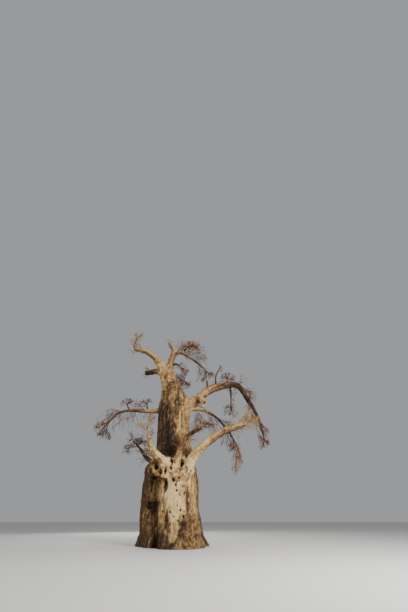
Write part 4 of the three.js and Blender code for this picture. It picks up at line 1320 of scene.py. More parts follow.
@dataclass
class Bough:
    """A limb's bark as a tube of fine faces."""

    plan: BoughPlan
    limb: Limb
    node: str
    seed: int
    lumps: Layer = Layer(1.0, (0.24, 0.24, 0.36), 3)  # layers of relief, as shares of the radius
    folds: Layer = Layer(0.16, (0.1, 0.1, 0.6))
    wrinkles: Layer = Layer(0.09, (0.2, 0.2, 0.05))
    folded: Pair = (0.03, 0.12)  # radii, in metres, from none to all of the folds
    buried: Pair = (0.6, 1.1)  # how much of its radius the root keeps, and how far
    first_ring: float = 0.5  # width of the ring that closes the root, as a share
    fewest_rings: int = 8
    half_sides: tuple[int, int] = (5, 36)  # fewest and most sides round half of a ring
    knot_gap: float = 0.36  # metres between two branch scars
    knot_size: Pair = (0.3, 0.4)  # least size of a scar and the spread above it, in radii
    knot_least: float = 0.01  # size in metres below which a scar spreads no narrower
    knot_height: float = 0.38  # of a scar's rim, as a share of its size
    knot_dip: Pair = (0.9, 0.4)  # depth and width of its middle, as shares
    blotches: Layer = Layer(0.2, (0.22, 0.22, 0.5), 3)  # layers of tone
    streaks: Layer = Layer(0.16, (0.05, 0.05, 0.5))
    tip_span: Pair = (0.25, 0.7)  # where the tone turns from the root's to the tip's
    underside_shade: float = 0.36  # how much darker it is below, as painted shade
    pocked: float = 0.1
    # Painted shade in the bark's hollows: the depth where it is darkest, and the rounds of smoothing
    hollow_shade_depth: float = 0.02
    hollow_shade_rounds: int = 6
    rounded: Rows = ((0.92, 0.22, 0), (0.72, 0.45, 0), (0.38, 0.62, 0))
    ragged: Rows = (
        (1.04, 0.12, 0), (0.98, 0.22, 0), (0.84, 0.16, 1), (0.66, -0.16, 1), (0.3, -0.34, 1),
    )  # width, place ahead and bareness of each ring of an end
    torn: Layer = Layer(0.36, (0.05, 0.05, 0.05))

    def rings(self) -> tuple[Array, Array, Array]:
        """Lays out the tube's rings.

        Returns:
            The middle, the radius and the share of the length of each.
        """
        face = BOUGH_FACE if self.plan.base > THICK_BOUGH else THIN_FACE
        span = self.limb.last - self.limb.first
        count = max(self.fewest_rings, round(self.limb.length * MM * span / face))
        share = np.linspace(self.limb.first, self.limb.last, count)
        radius = self.limb.radius(share) * MM
        slim, past = self.buried
        radius = radius * (slim + (1 - slim) * smooth(0, past, share * self.limb.length / self.limb.base))
        for middle, spread, size in self.plan.swells:
            radius = radius * (1 + size * np.exp(-(((share - middle) / spread) ** 2)))
        return self.limb.at(share) * MM, radius, share

    def relief(self, grain: Array, radius: Array) -> Array:
        """Returns how far the bark stands out, in metres.

        Args:
            grain: places on the limb as if it were straight.
            radius: the radius at each.

        Returns:
            The heights.
        """
        noise = Noise(self.seed)
        flat = grain.reshape(-1, 3)
        lumps = self.plan.lumps * self.lumps.lumps(noise, flat)
        folds = self.folds.folds(noise, flat) + self.wrinkles.folds(noise, flat)
        thick = smooth(*self.folded, radius)
        return (lumps.reshape(radius.shape) + folds.reshape(radius.shape) * thick) * radius

    def knots(self, angle: Array, along: Array, radius: Array) -> Array:
        """Returns how far old branch scars stand out, in metres.

        Args:
            angle: angle round the limb of each side.
            along: length along the limb of each point.
            radius: the radius at each.

        Returns:
            The heights.
        """
        stream = Stream(self.seed * 77 + 5)
        total = np.zeros_like(radius)
        length = along.max() - along.min()
        least, spread = self.knot_size
        dip, core = self.knot_dip
        for _ in range(int(length / self.knot_gap) + 1):
            place = along.min() + length * stream.draw()
            turn = 2 * math.pi * stream.draw()
            here = float(np.interp(place, along[:, 0], radius[:, 0]))
            size = (least + spread * stream.draw()) * here
            around = ((angle - turn + math.pi) % (2 * math.pi) - math.pi) * radius
            away = np.hypot(around, along - place) / max(size, self.knot_least)
            shape = np.exp(-(away**2)) - dip * np.exp(-((away / core) ** 2))
            total += self.knot_height * size * shape
        return total

    def build(self, bark: Material, wood: Material) -> Thing:
        """Makes the bough's piece.

        Args:
            bark: material of its side.
            wood: material of the bare wood in a broken end.

        Returns:
            The object.
        """
        places, radius, share = self.rings()
        sides = 2 * int(np.clip(round(math.pi * radius.max() / BOUGH_FACE), *self.half_sides))
        _, across, up = turning_frames(places)
        angle = np.linspace(0, 2 * math.pi, sides, endpoint=False)
        out = across[:, None] * np.cos(angle)[:, None] + up[:, None] * np.sin(angle)[:, None]
        wide = radius[:, None] + np.zeros(sides)
        along = (share * self.limb.length * MM)[:, None] + np.zeros(sides)
        grain = np.stack([wide * np.cos(angle), wide * np.sin(angle), along], -1)
        raised = self.relief(grain, wide) + self.knots(angle, along, wide)
        grid = places[:, None] + out * (wide + raised)[..., None]
        tips, bare = self.tips(grid[-1], places[-1], unit(places[-1] - places[-2]))
        first = places[0] + (grid[0] - places[0]) * self.first_ring
        rings = np.concatenate([first[None], grid, tips])
        like = np.concatenate([[0], np.arange(len(grid)), np.full(len(tips), len(grid) - 1)])
        bare = np.concatenate([np.zeros(len(grid) + 1), bare])
        skin = closed_tube(rings, grain[like], bare)
        skin.marks["tone"] = self.tones(skin)
        if bare.any():
            core = len(skin.points) - 2 - 2 * sides
            skin.marks["tone"][core - sides : core] = 1
            skin.marks["tone"][core:] = 0
        skin.marks["pocks"] = np.full(len(skin.points), self.pocked)
        # Painted shade: the bark darkens where it lies below its surroundings
        skin.marks["grime"] = np.clip(skin.depth(self.hollow_shade_rounds) / self.hollow_shade_depth, -1, 1)
        return skin.make(f"{self.node}_bark", [bark, wood])

    def tips(self, ring: Array, middle: Array, ahead: Array) -> tuple[Array, Array]:
        """Closes the limb's free end with smaller rings.

        Args:
            ring: the tube's last ring.
            middle: its middle.
            ahead: the direction there.

        Returns:
            The rings, and for each whether it is bare wood.
        """
        size = float(np.linalg.norm(ring - middle, axis=1).mean())
        broken = self.plan.end is End.BROKEN and self.limb.last == 1.0
        shapes = self.ragged if broken else self.rounded
        torn = self.torn.lumps(Noise(self.seed + 9), ring - middle)[:, None] * broken
        rings = [
            middle + (ring - middle) * wide + ahead * size * (out + torn * wide)
            for wide, out, _ in shapes
        ]
        return np.array(rings), np.array([bare for _, _, bare in shapes])

    def tones(self, skin: Skin) -> Array:
        """Works out the bark's tone, with painted shade on its underside.

        Args:
            skin: the bough's surface.

        Returns:
            The tone at each point.
        """
        noise = Noise(self.seed + 3)
        grain = skin.marks["grain"]
        along = grain[:, 2] / (self.limb.length * MM)
        # From the root's tone to the tip's: partly the bark's own colour, partly painted light and shade
        tone = self.plan.tone + (self.plan.tip_tone - self.plan.tone) * smooth(*self.tip_span, along)
        tone += self.blotches.lumps(noise, grain)
        tone += self.streaks.lumps(noise, grain)
        # Painted shade: darker where the bark faces down
        below = np.clip(-skin.normals()[:, 2], 0, 1)
        return np.clip(tone - self.underside_shade * below, 0, 1)


def closed_tube(rings: Array, grain: Array, bare: Array) -> Skin:
    """Joins rings to a tube and closes both ends with a fan of narrow faces.

    Args:
        rings: points of each ring, as many in each, an even number.
        grain: the place on the straightened limb of each point.
        bare: for each ring, 1 where the face that follows it is bare wood.

    Returns:
        The tube, with one more point in the middle of each end.
    """
    count, sides = rings.shape[:2]
    i, j = np.meshgrid(np.arange(count - 1), np.arange(sides), indexing="ij")
    here = i * sides + j
    beside = i * sides + (j + 1) % sides
    side_faces = np.stack([here, beside, beside + sides, here + sides], axis=-1).reshape(-1, 4)
    start, stop = count * sides, count * sides + 1
    k = np.arange(0, sides, 2)
    last = (count - 1) * sides
    fan = np.stack([k, (k + 1) % sides, (k + 2) % sides], axis=1)
    foot = np.insert(fan[:, ::-1], 0, start, axis=1)
    head = np.insert(last + fan, 0, stop, axis=1)
    slots = np.concatenate([np.repeat(bare[1:], sides), np.zeros(len(k)), np.full(len(k), bare[-1])])
    points = np.vstack([rings.reshape(-1, 3), rings[0].mean(0), rings[-1].mean(0)])
    marks = {"grain": np.vstack([grain.reshape(-1, 3), grain[0].mean(0), grain[-1].mean(0)])}
    return Skin(points, np.vstack([side_faces, foot, head]), marks, slots)


@dataclass
class Space:
    """Every limb and mass that a twig keeps clear of, in millimetres."""

    spheres: Array
    radii: Array
    owners: Array
    masses: tuple[MassPlan, ...]
    stems: tuple[Stem, Stem]
    box: Array

    @classmethod
    def around(cls, limbs: dict[str, Limb], stems: tuple[Stem, Stem], box: Array) -> "Space":
        """Stands close spheres along every limb.

        Args:
            limbs: each node's limb.
            stems: the trunk's two stems.
            box: the lowest and the highest corner that twigs keep inside.

        Returns:
            The space.
        """
        middles, radii, owners = [], [], []
        for node, limb in limbs.items():
            span = limb.last - limb.first
            share = np.linspace(limb.first, limb.last, math.ceil(limb.length * span / SPHERE_STEP) + 1)
            middles.append(limb.at(share))
            radii.append(limb.radius(share))
            owners += [node] * len(share)
        spheres, sizes = np.vstack(middles), np.concatenate(radii)
        return cls(spheres, sizes, np.array(owners), MASSES, stems, box)

    def near(self, plan: MassPlan) -> "Space":
        """Leaves out what a mass's twigs can't touch.

        Args:
            plan: the mass.

        Returns:
            The rest of the space.
        """
        middle, reach = np.array(plan.middle), np.array(plan.reach)
        away = (self.spheres - middle) / (reach + self.radii[:, None] + NEAR_PLAY)
        kept = np.linalg.norm(away, axis=1) < NEAR_LIMBS
        others = [
            mass
            for mass in self.masses
            if mass is not plan
            and np.all(np.abs(np.array(mass.middle) - middle) < NEAR_MASSES * (reach + mass.reach))
        ]
        return self.part(kept, tuple(others))

    def part(self, kept: Array, masses: tuple[MassPlan, ...]) -> "Space":
        """Returns the same space with some of the spheres and masses."""
        spheres, radii, owners = self.spheres[kept], self.radii[kept], self.owners[kept]
        return Space(spheres, radii, owners, masses, self.stems, self.box)

    def along(self, node: str) -> "Space":
        """Leaves out what the shoots of a bough can't touch, and all masses.

        Args:
            node: the bough's name.

        Returns:
            The rest of the space.
        """
        own = self.spheres[self.owners == node]
        low, high = own.min(0) - SHOOT_REACH, own.max(0) + SHOOT_REACH
        return self.part(np.all((self.spheres > low) & (self.spheres < high), axis=1), ())

    def touches(self, points: Array, radius: float, free_of: Array, owner: str) -> bool:
        """Tells whether any of a twig's places lies against a limb.

        Args:
            points: the places.
            radius: the twig's radius.
            free_of: for each place, whether its own bough is left out of the test.
            owner: its own bough.

        Returns:
            Whether one does.
        """
        margin = radius + TWIG_CLEARANCE
        apart = np.linalg.norm(points[:, None] - self.spheres[None], axis=2)
        hit = apart < self.radii + margin
        hit &= ~(free_of[:, None] & (self.owners == owner)[None])
        return bool(hit.any()) or any(self._in_stem(stem, points, margin) for stem in self.stems)

    @staticmethod
    def _in_stem(stem: Stem, points: Array, margin: float) -> bool:
        """Tells whether any place lies inside a stem, or too near to it.

        Args:
            stem: the stem.
            points: the places.
            margin: how near is too near.

        Returns:
            Whether one does.
        """
        low = points[points[:, 2] <= stem.stations[-1][0]]
        if not len(low) or np.abs(low[:, 0]).min() > STEM_REACH:
            return False
        x, y, wide, deep = blend_stations(stem.stations, low[:, 2])
        across = (low[:, 0] - x) / (wide * FLUTE_ALLOWANCE + margin)
        along = (low[:, 1] - y) / (deep * FLUTE_ALLOWANCE + margin)
        return bool((np.hypot(across, along) < 1).any())


@dataclass(frozen=True)
class Twig:
    """What a twig hands on to the twigs that leave it."""

    seed: int
    radius: float
    level: int  # 0 for a main twig
    tint: int  # number of its colour


@dataclass
class Spray:
    """Twigs that branch by the solids' seeded rule, carried on to finer ones."""

    own_probes: ClassVar[int] = 1  # how many places after its root a twig may touch its own bough
    plan: MassPlan | ShootPlan
    seed: int
    limb: Limb  # of their own bough
    owner: str  # its node
    near: Space  # the limbs and masses that they keep clear of
    paths: list[tuple[Array, float, int]] = field(default_factory=list)

    @staticmethod
    def bow(corners: Array, share: Array | float) -> Array:
        """Returns points on the curve that three corners draw."""
        t = np.asarray(share, float)[..., None]
        return (1 - t) ** 2 * corners[0] + 2 * t * (1 - t) * corners[1] + t**2 * corners[2]

    def holds(self, points: Array) -> bool:
        """Tells whether places are inside the space that the spray may fill."""
        low, high = self.near.box
        return bool(((points > low) & (points < high)).all())

    def is_free(self, points: Array, radius: float) -> bool:
        """Tells whether a twig stays in its spray's space and clear of every limb.

        Args:
            points: its joints.
            radius: its radius.

        Returns:
            Whether it does.
        """
        steps = np.diff(points, axis=0)
        probes = (points[:-1, None] + steps[:, None] * PROBES[None, :, None]).reshape(-1, 3)
        root = np.arange(len(probes)) < self.own_probes
        if not self.holds(probes[1:]):
            return False
        return not self.near.touches(probes, radius, root, self.owner)

    def grow_twig(
        self, twig: Twig, stream: Stream, start: Array, heading: Array, target: Array
    ) -> None:
        """Grows one twig and its children, shorter if the whole of it isn't free.

        Args:
            twig: its seed, its radius at the start, its level and its colour.
            stream: its numbers.
            start: where it leaves its parent.
            heading: the direction that it starts in.
            target: where it aims.
        """
        joints = TWIG_JOINTS[twig.level]
        stray = np.array([stream.centred() for _ in range(joints)])
        stray[-1] *= END_CROOK
        length = float(np.linalg.norm(target - start))
        for share in SHORTENED:
            size = length * share
            knee = start + heading * size / 2
            knee[2] += self.plan.hang * size * BOW
            corners = np.array([start, knee, start + (target - start) * share])
            along = (np.arange(joints) + 1) / joints
            points = np.vstack([start, self.bow(corners, along) + stray * CROOK * size])
            if self.is_free(points, twig.radius):
                self.paths.append((points, max(twig.radius, FINEST_TWIG), twig.tint))
                self.grow_sides(twig, points, size)
                return

    def grow_sides(self, twig: Twig, points: Array, length: float) -> None:
        """Grows the children of one twig.

        Args:
            twig: the twig.
            points: its joints.
            length: its length.
        """
        for j in range(SIDE_TWIGS[twig.level]):
            own = child_seed(twig.seed, j)
            stream = Stream(own)
            place = (j * AIM_GOLDEN + stream.draw() * SIDE_ROOT_STRAY) % 1
            along = SIDE_ROOT_FIRST + SIDE_ROOT_SPAN * place
            i = min(int(along * (len(points) - 1)), len(points) - 2)
            start = points[i] + (points[i + 1] - points[i]) * (along * (len(points) - 1) - i)
            ahead = unit(points[i + 1] - points[i])
            aside = stream.centred()
            aside[2] -= self.plan.hang * SIDE_DROOP
            aside = unit(aside - ahead * np.dot(aside, ahead))
            heading = unit(aside + ahead * SIDE_AHEAD)
            chance = SIDE_LENGTH_LEAST + SIDE_LENGTH_SPREAD * stream.draw()
            share = (SIDE_LENGTH_ROOT - SIDE_LENGTH_LOSS * along) * chance
            span = unit(heading + ahead * SIDE_TURN) * length * share
            span[2] -= self.plan.hang * length * share * DROOP
            thinner = twig.radius * (1 - (1 - TWIG_TAPER) * along) * SIDE_TWIG_SHARE
            child = Twig(own, thinner, twig.level + 1, twig.tint)
            self.grow_twig(child, stream, start, heading, start + span)

    def skeleton(self) -> Thing:
        """Lays the twigs out as bare lines.

        Returns:
            An object whose points have a thickness and the number of a colour.
        """
        counts = [len(points) for points, _, _ in self.paths]
        first = np.delete(np.arange(sum(counts)), np.cumsum(counts) - 1)
        edges = np.column_stack([first, first + 1])
        thick = [
            np.maximum(radius * np.linspace(1, TWIG_TAPER, len(points)), FINEST_TIP) * MM
            for points, radius, _ in self.paths
        ]
        tints = np.repeat([tint for _, _, tint in self.paths], counts)
        mesh = bpy.data.meshes.new("twig_lines")
        places = np.vstack([points for points, _, _ in self.paths]) * MM
        mesh.from_pydata(places.tolist(), edges.tolist(), [])
        thickness = mesh.attributes.new("thickness", "FLOAT", "POINT")
        thickness.data.foreach_set("value", np.concatenate(thick).astype(np.float32))
        mesh.attributes.new("tint", "INT", "POINT").data.foreach_set("value", tints.astype(np.int32))
        return stand("twig_lines", mesh)


@dataclass
class TwigMass(Spray):
    """A mass of twigs that branch from one stem at a bough's tip."""

    def __post_init__(self) -> None:
        """Sets the mass's own space and the stem that its twigs leave."""
        self.middle = np.array(self.plan.middle, float)
        self.reach = np.array(self.plan.reach, float)
        leaving = self.limb.heading
        root = self.limb.at(1.0) + leaving * SEAT_GAP
        run = float(np.linalg.norm(self.middle - root))
        length = max(run, STEM_LENGTH * self.reach.min()) * self.plan.fan
        straight = unit(self.middle - root)
        aim = unit(straight + (leaving - straight) * STEM_STIFFNESS)
        knee = root + leaving * length * STEM_KNEE
        self.stem = np.array([root, knee, knee + aim * length * (1 - STEM_KNEE)])
        self.stem_radius = float(self.limb.radius(1.0)) * STEM_RADIUS

    def holds(self, points: Array) -> bool:
        """Tells whether places are inside this mass's space, and in no other's.

        Args:
            points: the places.

        Returns:
            Whether all are.
        """
        own = np.linalg.norm((points - self.middle) / self.reach, axis=1)
        if (own > 1).any():
            return False
        for other in self.near.masses:
            depth = np.linalg.norm((points - other.middle) / other.reach, axis=1)
            if (depth <= own + SPACE_MARGIN).any():
                return False
        return True

    def grow(self) -> None:
        """Grows every main twig, from the stem to a point near the edge of the space."""
        for k in range(self.plan.mains):
            seed = child_seed(self.seed, k)
            stream = Stream(seed)
            turn = k * AIM_TURN + self.seed
            height = 1 - 2 * ((k * AIM_GOLDEN + AIM_OFFSET) % 1)
            flat = math.sqrt(1 - height * height)
            out = np.array([flat * math.cos(turn), flat * math.sin(turn), height]) * self.reach
            place = (k * MAIN_ROOT_GOLDEN + MAIN_ROOT_OFFSET) % 1
            share = MAIN_ROOT_FIRST + (1 - MAIN_ROOT_FIRST) * place
            start = self.bow(self.stem, share)
            target = self.middle + out * (FILL_MOST - FILL_SPREAD * stream.draw())
            lower, upper = np.diff(self.stem, axis=0)
            tangent = unit(lower * (1 - share) + upper * share)
            heading = unit(tangent + unit(target - start))
            thickness = self.stem_radius * (1 - (1 - STEM_TAPER) * share) * MAIN_TWIG_SHARE
            tint = self.plan.tints[k % len(self.plan.tints)].value
            twig = Twig(seed, min(MAIN_TWIG_RADIUS, thickness), 0, tint)
            self.grow_twig(twig, stream, start, heading, target)

    def stem_piece(self, tone: float, bark: Material, wood: Material) -> Thing:
        """Makes the bark of the stem that the twigs leave.

        Args:
            tone: how pale it is.
            bark: its material.
            wood: material of bare wood, for slots that a bough has.

        Returns:
            The object.
        """
        share = np.linspace(0, 1, 5)
        path = tuple(tuple(float(v) for v in point) for point in self.bow(self.stem, share))
        plan = BoughPlan(self.plan.node + "_stem", 1, 1, path, End.BLUNT, tone, tone)
        radius = self.stem_radius * self.plan.stem
        limb = Limb(radius, radius * STEM_TAPER, path, power=1.0, collar=0.0)
        return Bough(plan, limb, plan.node, STEM_SEED + self.seed).build(bark, wood)


@dataclass
class BoughShoots(Spray):
    """Short shoots that stand along a bough, each branched by the same rule."""

    own_probes: ClassVar[int] = 8
    step: float = 0.01  # between places that give the bough's direction, as a share of its length
    rooted: float = 0.7  # where a shoot starts, as a share of the bough's radius
    shortest: float = 0.5  # as a share of the mean length
    ahead: float = 0.3  # how much it leans towards the bough's tip
    stray: float = 0.5

    def grow(self) -> None:
        """Grows every shoot, spread round the bough and along it by golden shares."""
        for k in range(self.plan.count):
            seed = child_seed(self.seed, k)
            stream = Stream(seed)
            share = self.plan.first + (self.plan.last - self.plan.first) * ((k * AIM_GOLDEN) % 1)
            middle = self.limb.at(share)
            before, after = share - self.step, min(share + self.step, 1.0)
            ahead = unit(self.limb.at(after) - self.limb.at(before))
            across = unit(np.cross(ahead, (0.0, 0.0, 1.0)))
            turn = k * AIM_TURN + self.seed
            out = across * math.cos(turn) + np.cross(across, ahead) * math.sin(turn)
            out = unit(out + np.array(self.plan.lean))
            start = middle + out * float(self.limb.radius(share)) * self.rooted
            length = self.plan.length * (self.shortest + stream.draw())
            heading = unit(out + ahead * self.ahead + stream.centred() * self.stray)
            target = start + unit(heading + ahead * SIDE_TURN) * length
            tint = self.plan.tints[k % len(self.plan.tints)].value
            self.grow_twig(Twig(seed, SHOOT_RADIUS, 1, tint), stream, start, heading, target)


class TwigTree:
    """Geometry nodes that sweep a small ring along every line of a mesh."""

    SIDES = 3

    def __init__(self, finishes: Sequence[Material]) -> None:
        """Builds the node tree.

        Args:
            finishes: the twig materials, in the order of the tints.
        """
        self.finishes = finishes
        self.tree = bpy.data.node_groups.new("twigs_along_lines", "GeometryNodeTree")
        face = self.tree.interface
        face.new_socket("Geometry", in_out="INPUT", socket_type="NodeSocketGeometry")
        self.sides = face.new_socket("Sides", in_out="INPUT", socket_type="NodeSocketInt")
        self.stout = face.new_socket("Stoutness", in_out="INPUT", socket_type="NodeSocketFloat")
        face.new_socket("Geometry", in_out="OUTPUT", socket_type="NodeSocketGeometry")
        add = partial(add_node, self.tree)
        given = add("NodeGroupInput").outputs
        lines = add("GeometryNodeMeshToCurve", inputs={"Mesh": given["Geometry"]})
        named = "GeometryNodeInputNamedAttribute"
        kept = add(named, {"data_type": "FLOAT"}, {"Name": "thickness"})
        tint = add(named, {"data_type": "INT"}, {"Name": "tint"})
        size = add(
            "ShaderNodeMath", {"operation": "MULTIPLY"}, {0: kept.outputs[0], 1: given["Stoutness"]}
        )
        ring = add(
            "GeometryNodeCurvePrimitiveCircle", inputs={"Resolution": given["Sides"], "Radius": 1.0}
        )
        swept = add("GeometryNodeCurveToMesh", inputs={
            "Curve": lines.outputs[0], "Profile Curve": ring.outputs[0],
            "Scale": size.outputs[0], "Fill Caps": True,
        })
        shape = add("GeometryNodeRealizeInstances", inputs={"Geometry": swept.outputs[0]}).outputs[0]
        for number, finish in enumerate(finishes):
            same = add(
                "FunctionNodeCompare", {"data_type": "INT", "operation": "EQUAL"},
                {2: tint.outputs[0], 3: number},
            )
            shape = add("GeometryNodeSetMaterial", inputs={
                "Geometry": shape, "Selection": same.outputs[0], "Material": finish,
            }).outputs[0]
        add("NodeGroupOutput", inputs={"Geometry": shape})

    def apply(self, lines: Thing, name: str) -> Thing:
        """Turns lines into a plain mesh of twigs.

        Args:
            lines: the object that holds them, which is removed.
            name: the new object's name.

        Returns:
            The new object.
        """
        for finish in self.finishes:
            lines.data.materials.append(finish)
        modifier = lines.modifiers.new("twigs", "NODES")
        modifier.node_group = self.tree
        modifier[self.sides.identifier] = self.SIDES
        modifier[self.stout.identifier] = 1.0
        graph = bpy.context.evaluated_depsgraph_get()
        mesh = bpy.data.meshes.new_from_object(lines.evaluated_get(graph))
        mesh.name = name
        if mesh.materials[0] is None:
            mesh.materials.pop(index=0)
        lines.modifiers.remove(modifier)
        bpy.data.objects.remove(lines)
        for mark in ("thickness", "tint"):
            if mark in mesh.attributes:
                mesh.attributes.remove(mesh.attributes[mark])
        return stand(name, mesh)


def weighted(
    add: Callable[..., Node], *parts: tuple[bpy.types.NodeSocket, float], shift: float
) -> bpy.types.NodeSocket:
    """Adds up sockets.

    Args:
        add: adds a node to the tree.
        parts: each socket with its weight.
        shift: what is added at the end.

    Returns:
        The sum's socket.
    """
    total = shift
    for socket, weight in parts:
        terms = {0: socket, 1: weight, 2: total}
        total = add("ShaderNodeMath", {"operation": "MULTIPLY_ADD"}, terms).outputs[0]
    return total


def colour_ramp(ramp: Node, shades: Sequence[tuple[float, str]]) -> None:
    """Sets the colours of a colour ramp.

    Args:
        ramp: the node.
        shades: each colour with its place, from the first to the last.
    """
    first, *middle, last = shades
    stops = ramp.color_ramp.elements
    for stop, (place, colour) in zip(stops, (first, last)):
        stop.position = place
        stop.color = linear(colour)
    for place, colour in middle:
        stops.new(place).color = linear(colour)


def matt(name: str, roughness: float, shine: float) -> tuple[Material, Node]:
    """Starts a material.

    Args:
        name: its name.
        roughness: of its surface.
        shine: its specular level.

    Returns:
        The material, and its shader node.
    """
    material = bpy.data.materials.new(name)
    material.use_nodes = True
    shader = material.node_tree.nodes["Principled BSDF"]
    shader.inputs["Roughness"].default_value = roughness
    shader.inputs["Specular IOR Level"].default_value = shine
    return material, shader


@dataclass(frozen=True)
class BarkFinish:
    """Baobab bark: a smooth, tough skin that weathers in folds, grown and not worked.

    It gives the eye pale straw faces over brown, with painted shade in the folds and hollows, long
    fibres and scattered dark specks, and no shine at all.
    """

    name: str = "baobab_bark_weathered"
    shades: tuple[tuple[float, str], ...] = (
        (0.0, "#2A1E16"), (0.28, "#5F462D"), (0.52, "#947448"), (0.76, "#BD9E6D"), (1.0, "#D3B98D"),
    )  # from the darkest bark to the palest
    # Colour of the painted shade in the folds and hollows
    painted_shade: str = "#1E150E"
    speckled: str = "#3C2B1C"
    roughness: float = 0.86
    shine: float = 0.25
    fibre: Place = (38 * MM, 38 * MM, 260 * MM)  # width and length of its fibres
    grains: Path = (
        (130 * MM, 5.0, 0.62), (16 * MM, 3.0, 0.6), (70 * MM, 4.0, 0.75),
    )  # size, detail and roughness of its blotches, its finest wrinkles and its dark specks
    relief: float = 0.022  # height of the bump, in metres
    steepness: float = 0.9  # strength of the bump

    def build(self) -> Material:
        """Makes the material.

        Returns:
            The material, which reads the marks of a skin.
        """
        material, shader = matt(self.name, self.roughness, self.shine)
        add = partial(add_node, material.node_tree)
        marks = [
            add("ShaderNodeAttribute", {"attribute_name": name}).outputs
            for name in ("grain", "tone", "grime", "pocks")
        ]
        grain = marks[0]["Vector"]
        tone, grime, pocks = (mark["Fac"] for mark in marks[1:])
        stretched = add(
            "ShaderNodeMapping", inputs={0: grain, "Scale": [1 / size for size in self.fibre]}
        ).outputs[0]
        noises = [{"Vector": stretched, "Scale": 1.0, "Detail": 3.0}]
        for size, detail, rough in self.grains:
            noises.append({"Vector": grain, "Scale": 1 / size, "Detail": detail, "Roughness": rough})
        fibres, mottles, wrinkles, specks = (
            add("ShaderNodeTexNoise", inputs=noise).outputs["Fac"] for noise in noises
        )
        spread = weighted(add, (tone, 1.0), (mottles, 0.9), (fibres, 0.8), shift=-0.86)
        crowded = weighted(add, (specks, 1.0), (pocks, -0.1), shift=0.0)
        marked, shade_amount = (
            add(
                "ShaderNodeMapRange", {"interpolation_type": "SMOOTHSTEP"},
                {"Value": socket, "From Min": low, "From Max": high},
            ).outputs[0]
            for socket, low, high in ((crowded, 0.27, 0.37), (grime, 0.06, 0.8))
        )
        ramp = add("ShaderNodeValToRGB", inputs={"Fac": spread})
        colour_ramp(ramp, self.shades)
        mixed = {"data_type": "RGBA"}
        speckles = {0: marked, 6: linear(self.speckled), 7: ramp.outputs["Color"]}
        speckled = add("ShaderNodeMix", mixed, speckles).outputs[2]
        # Painted shade: the colour darkens in the hollows
        painted_shade = {0: shade_amount, 6: speckled, 7: linear(self.painted_shade)}
        colour = add("ShaderNodeMix", mixed, painted_shade).outputs[2]
        height = weighted(add, (fibres, 0.55), (wrinkles, 0.45), (marked, 0.5), shift=0.0)
        raised = {"Height": height, "Strength": self.steepness, "Distance": self.relief}
        bump = add("ShaderNodeBump", inputs=raised)
        material.node_tree.links.new(colour, shader.inputs["Base Color"])
        material.node_tree.links.new(bump.outputs[0], shader.inputs["Normal"])
        return material


@dataclass(frozen=True)
class PlainFinish:
    """A matt surface of one plain colour."""

    name: str
    colour: str
    roughness: float = 0.9
    shine: float = 0.2

    def build(self) -> Material:
        """Makes the material.

        Returns:
            The material.
        """
        material, shader = matt(self.name, self.roughness, self.shine)
        shader.inputs["Base Color"].default_value = linear(self.colour)
        return material


@dataclass(frozen=True)
class BareWoodFinish:
    """Dry baobab wood where a limb has snapped: soft, fibrous, pulled apart in layers.

    It gives the eye a pale, yellowish, ragged rim round a brown core.
    """

    name: str = "baobab_wood_snapped"
    shades: tuple[tuple[float, str], ...] = ((0.36, "#6A4F30"), (0.6, "#D9C48E"))
    ring: float = 34 * MM  # between two of its layers
    relief: float = 0.02  # height of the bump, in metres
    roughness: float = 0.9
    shine: float = 0.5

    def build(self) -> Material:
        """Makes the material.

        Returns:
            The material, which reads the tone of a skin.
        """
        material, shader = matt(self.name, self.roughness, self.shine)
        add = partial(add_node, material.node_tree)
        place = add("ShaderNodeTexCoord").outputs["Object"]
        grain = {"Vector": place, "Scale": 1 / self.ring, "Detail": 4.0}
        layers = add("ShaderNodeTexNoise", inputs=grain).outputs["Fac"]
        tone = add("ShaderNodeAttribute", {"attribute_name": "tone"}).outputs["Fac"]
        paler = weighted(add, (tone, 0.5), (layers, 1.0), shift=-0.25)
        ramp = add("ShaderNodeValToRGB", inputs={"Fac": paler})
        colour_ramp(ramp, self.shades)
        bump = add("ShaderNodeBump", inputs={"Height": layers, "Distance": self.relief})
        material.node_tree.links.new(ramp.outputs["Color"], shader.inputs["Base Color"])
        material.node_tree.links.new(bump.outputs[0], shader.inputs["Normal"])
        return material


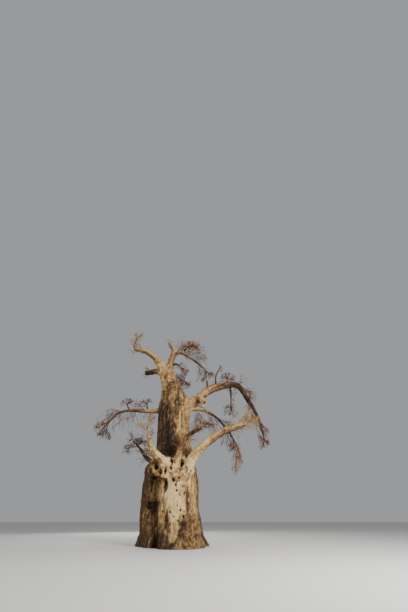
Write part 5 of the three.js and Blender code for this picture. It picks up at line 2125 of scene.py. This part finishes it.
@dataclass(frozen=True)
class Studio:
    """A plain pale floor, soft lights, and a camera at the photograph's place."""

    camera_place: Place = (1.2052, -17.9, 1.1734)
    camera_tilt: float = 31.579  # degrees up from level
    lens: float = 20.0
    sensor: float = 36.0
    far: float = 200.0  # how far the camera sees, in metres
    floor_colour: str = "#D8D6D2"
    floor_half: float = 60.0
    air_colour: str = "#E4E6EA"
    air_light: float = 0.45
    lights: tuple[tuple[str, Place, float, float, float], ...] = (
        ("key", (10, -13, 8), 4, 4.5, 3400),
        ("fill", (-12, -12, 6), 4.5, 8, 420),
        ("top", (2, 4, 18), 4, 9, 900),
        ("back", (-5, 15, 7), 4.5, 8, 900),
    )  # name, place, height that each aims at, side and power in watts

    def build(self) -> None:
        """Makes the floor, the lights, the surroundings and the camera."""
        half = self.floor_half
        mesh = bpy.data.meshes.new("floor")
        corners = [(-half, -half, 0), (half, -half, 0), (half, half, 0), (-half, half, 0)]
        mesh.from_pydata(corners, [], [(0, 1, 2, 3)])
        mesh.materials.append(PlainFinish("studio_floor", self.floor_colour).build())
        stand("floor", mesh)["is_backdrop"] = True
        for name, place, height, size, power in self.lights:
            light = bpy.data.lights.new(name, "AREA")
            light.size = size
            light.energy = power
            thing = stand(name, light)
            thing.location = place
            aim = Vector((0, 0, height)) - Vector(place)
            thing.rotation_euler = aim.to_track_quat("-Z", "Y").to_euler()
        world = bpy.data.worlds.new("studio_air")
        bpy.context.scene.world = world
        world.use_nodes = True
        air = world.node_tree.nodes["Background"].inputs
        air["Color"].default_value = linear(self.air_colour)
        air["Strength"].default_value = self.air_light
        camera = bpy.data.cameras.new("camera")
        camera.lens = self.lens
        camera.sensor_width = self.sensor
        camera.clip_end = self.far
        thing = stand("camera", camera)
        thing.location = self.camera_place
        thing.rotation_euler = (math.radians(90 + self.camera_tilt), 0.0, 0.0)
        bpy.context.scene.camera = thing


def seat(thing: Thing, slot: str, *nodes: str) -> None:
    """Puts a finished piece in the place of its solids, and reports it.

    Args:
        thing: the piece.
        slot: not used.
        nodes: the solids that it stands for.
    """
    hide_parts(*nodes)
    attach(thing, "root")
    thing.data.calc_loop_triangles()
    LOG.info("%s: %d triangles", thing.name, len(thing.data.loop_triangles))


def make_limbs() -> dict[str, tuple[BoughPlan, Limb]]:
    """Draws every bough's limb.

    Returns:
        The plan and the limb of each node.
    """
    limbs = {}
    for plan in BOUGHS:
        whole = Limb(plan.base, plan.tip, plan.path)
        parts = whole.split(plan.split) if plan.split else (whole,)
        for node, part in zip((plan.node, plan.split_node), parts):
            limbs[node] = (plan, part)
    return limbs


def main() -> None:
    """Builds the tree piece by piece."""
    logging.basicConfig(level=logging.INFO, format="%(message)s")
    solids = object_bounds()
    LOG.info("%d solids to replace", len(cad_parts))
    Studio().build()
    bark = BarkFinish().build()
    wood = BareWoodFinish().build()
    tree = TwigTree([PlainFinish(f"twig_bark_{name}", colour).build() for name, colour in TWIG_COLOURS])
    trunk = Trunk()
    seat(trunk.build(bark), "trunk_bark", "trunk")
    limbs = make_limbs()
    for number, (node, (plan, limb)) in enumerate(limbs.items()):
        seat(Bough(plan, limb, node, BOUGH_SEED + number).build(bark, wood), "bough_bark", node)
    box = (np.array(solids) + [[-SHOOT_PLAY], [SHOOT_PLAY]]) / MM
    box[0, 2] = 0
    bare = {node: limb for node, (_, limb) in limbs.items()}
    space = Space.around(bare, (trunk.tall, trunk.front), box)
    for number, plan in enumerate(MASSES):
        bough, limb = limbs[plan.bough]
        mass = TwigMass(plan, FIRST_SEED + number, limb, plan.bough, space.near(plan))
        mass.grow()
        seat(mass.stem_piece(bough.tip_tone, bark, wood), "bough_bark", plan.node)
        seat(tree.apply(mass.skeleton(), plan.node + "_fine"), "twigs", plan.node)
    for number, plan in enumerate(SHOOTS):
        near = space.along(plan.node)
        shoots = BoughShoots(plan, SHOOT_SEED + number, limbs[plan.node][1], plan.node, near)
        shoots.grow()
        name = f"{plan.node}_shoots_{number}"
        seat(tree.apply(shoots.skeleton(), name), "twigs", plan.node)


if __name__ == "__main__":
    main()
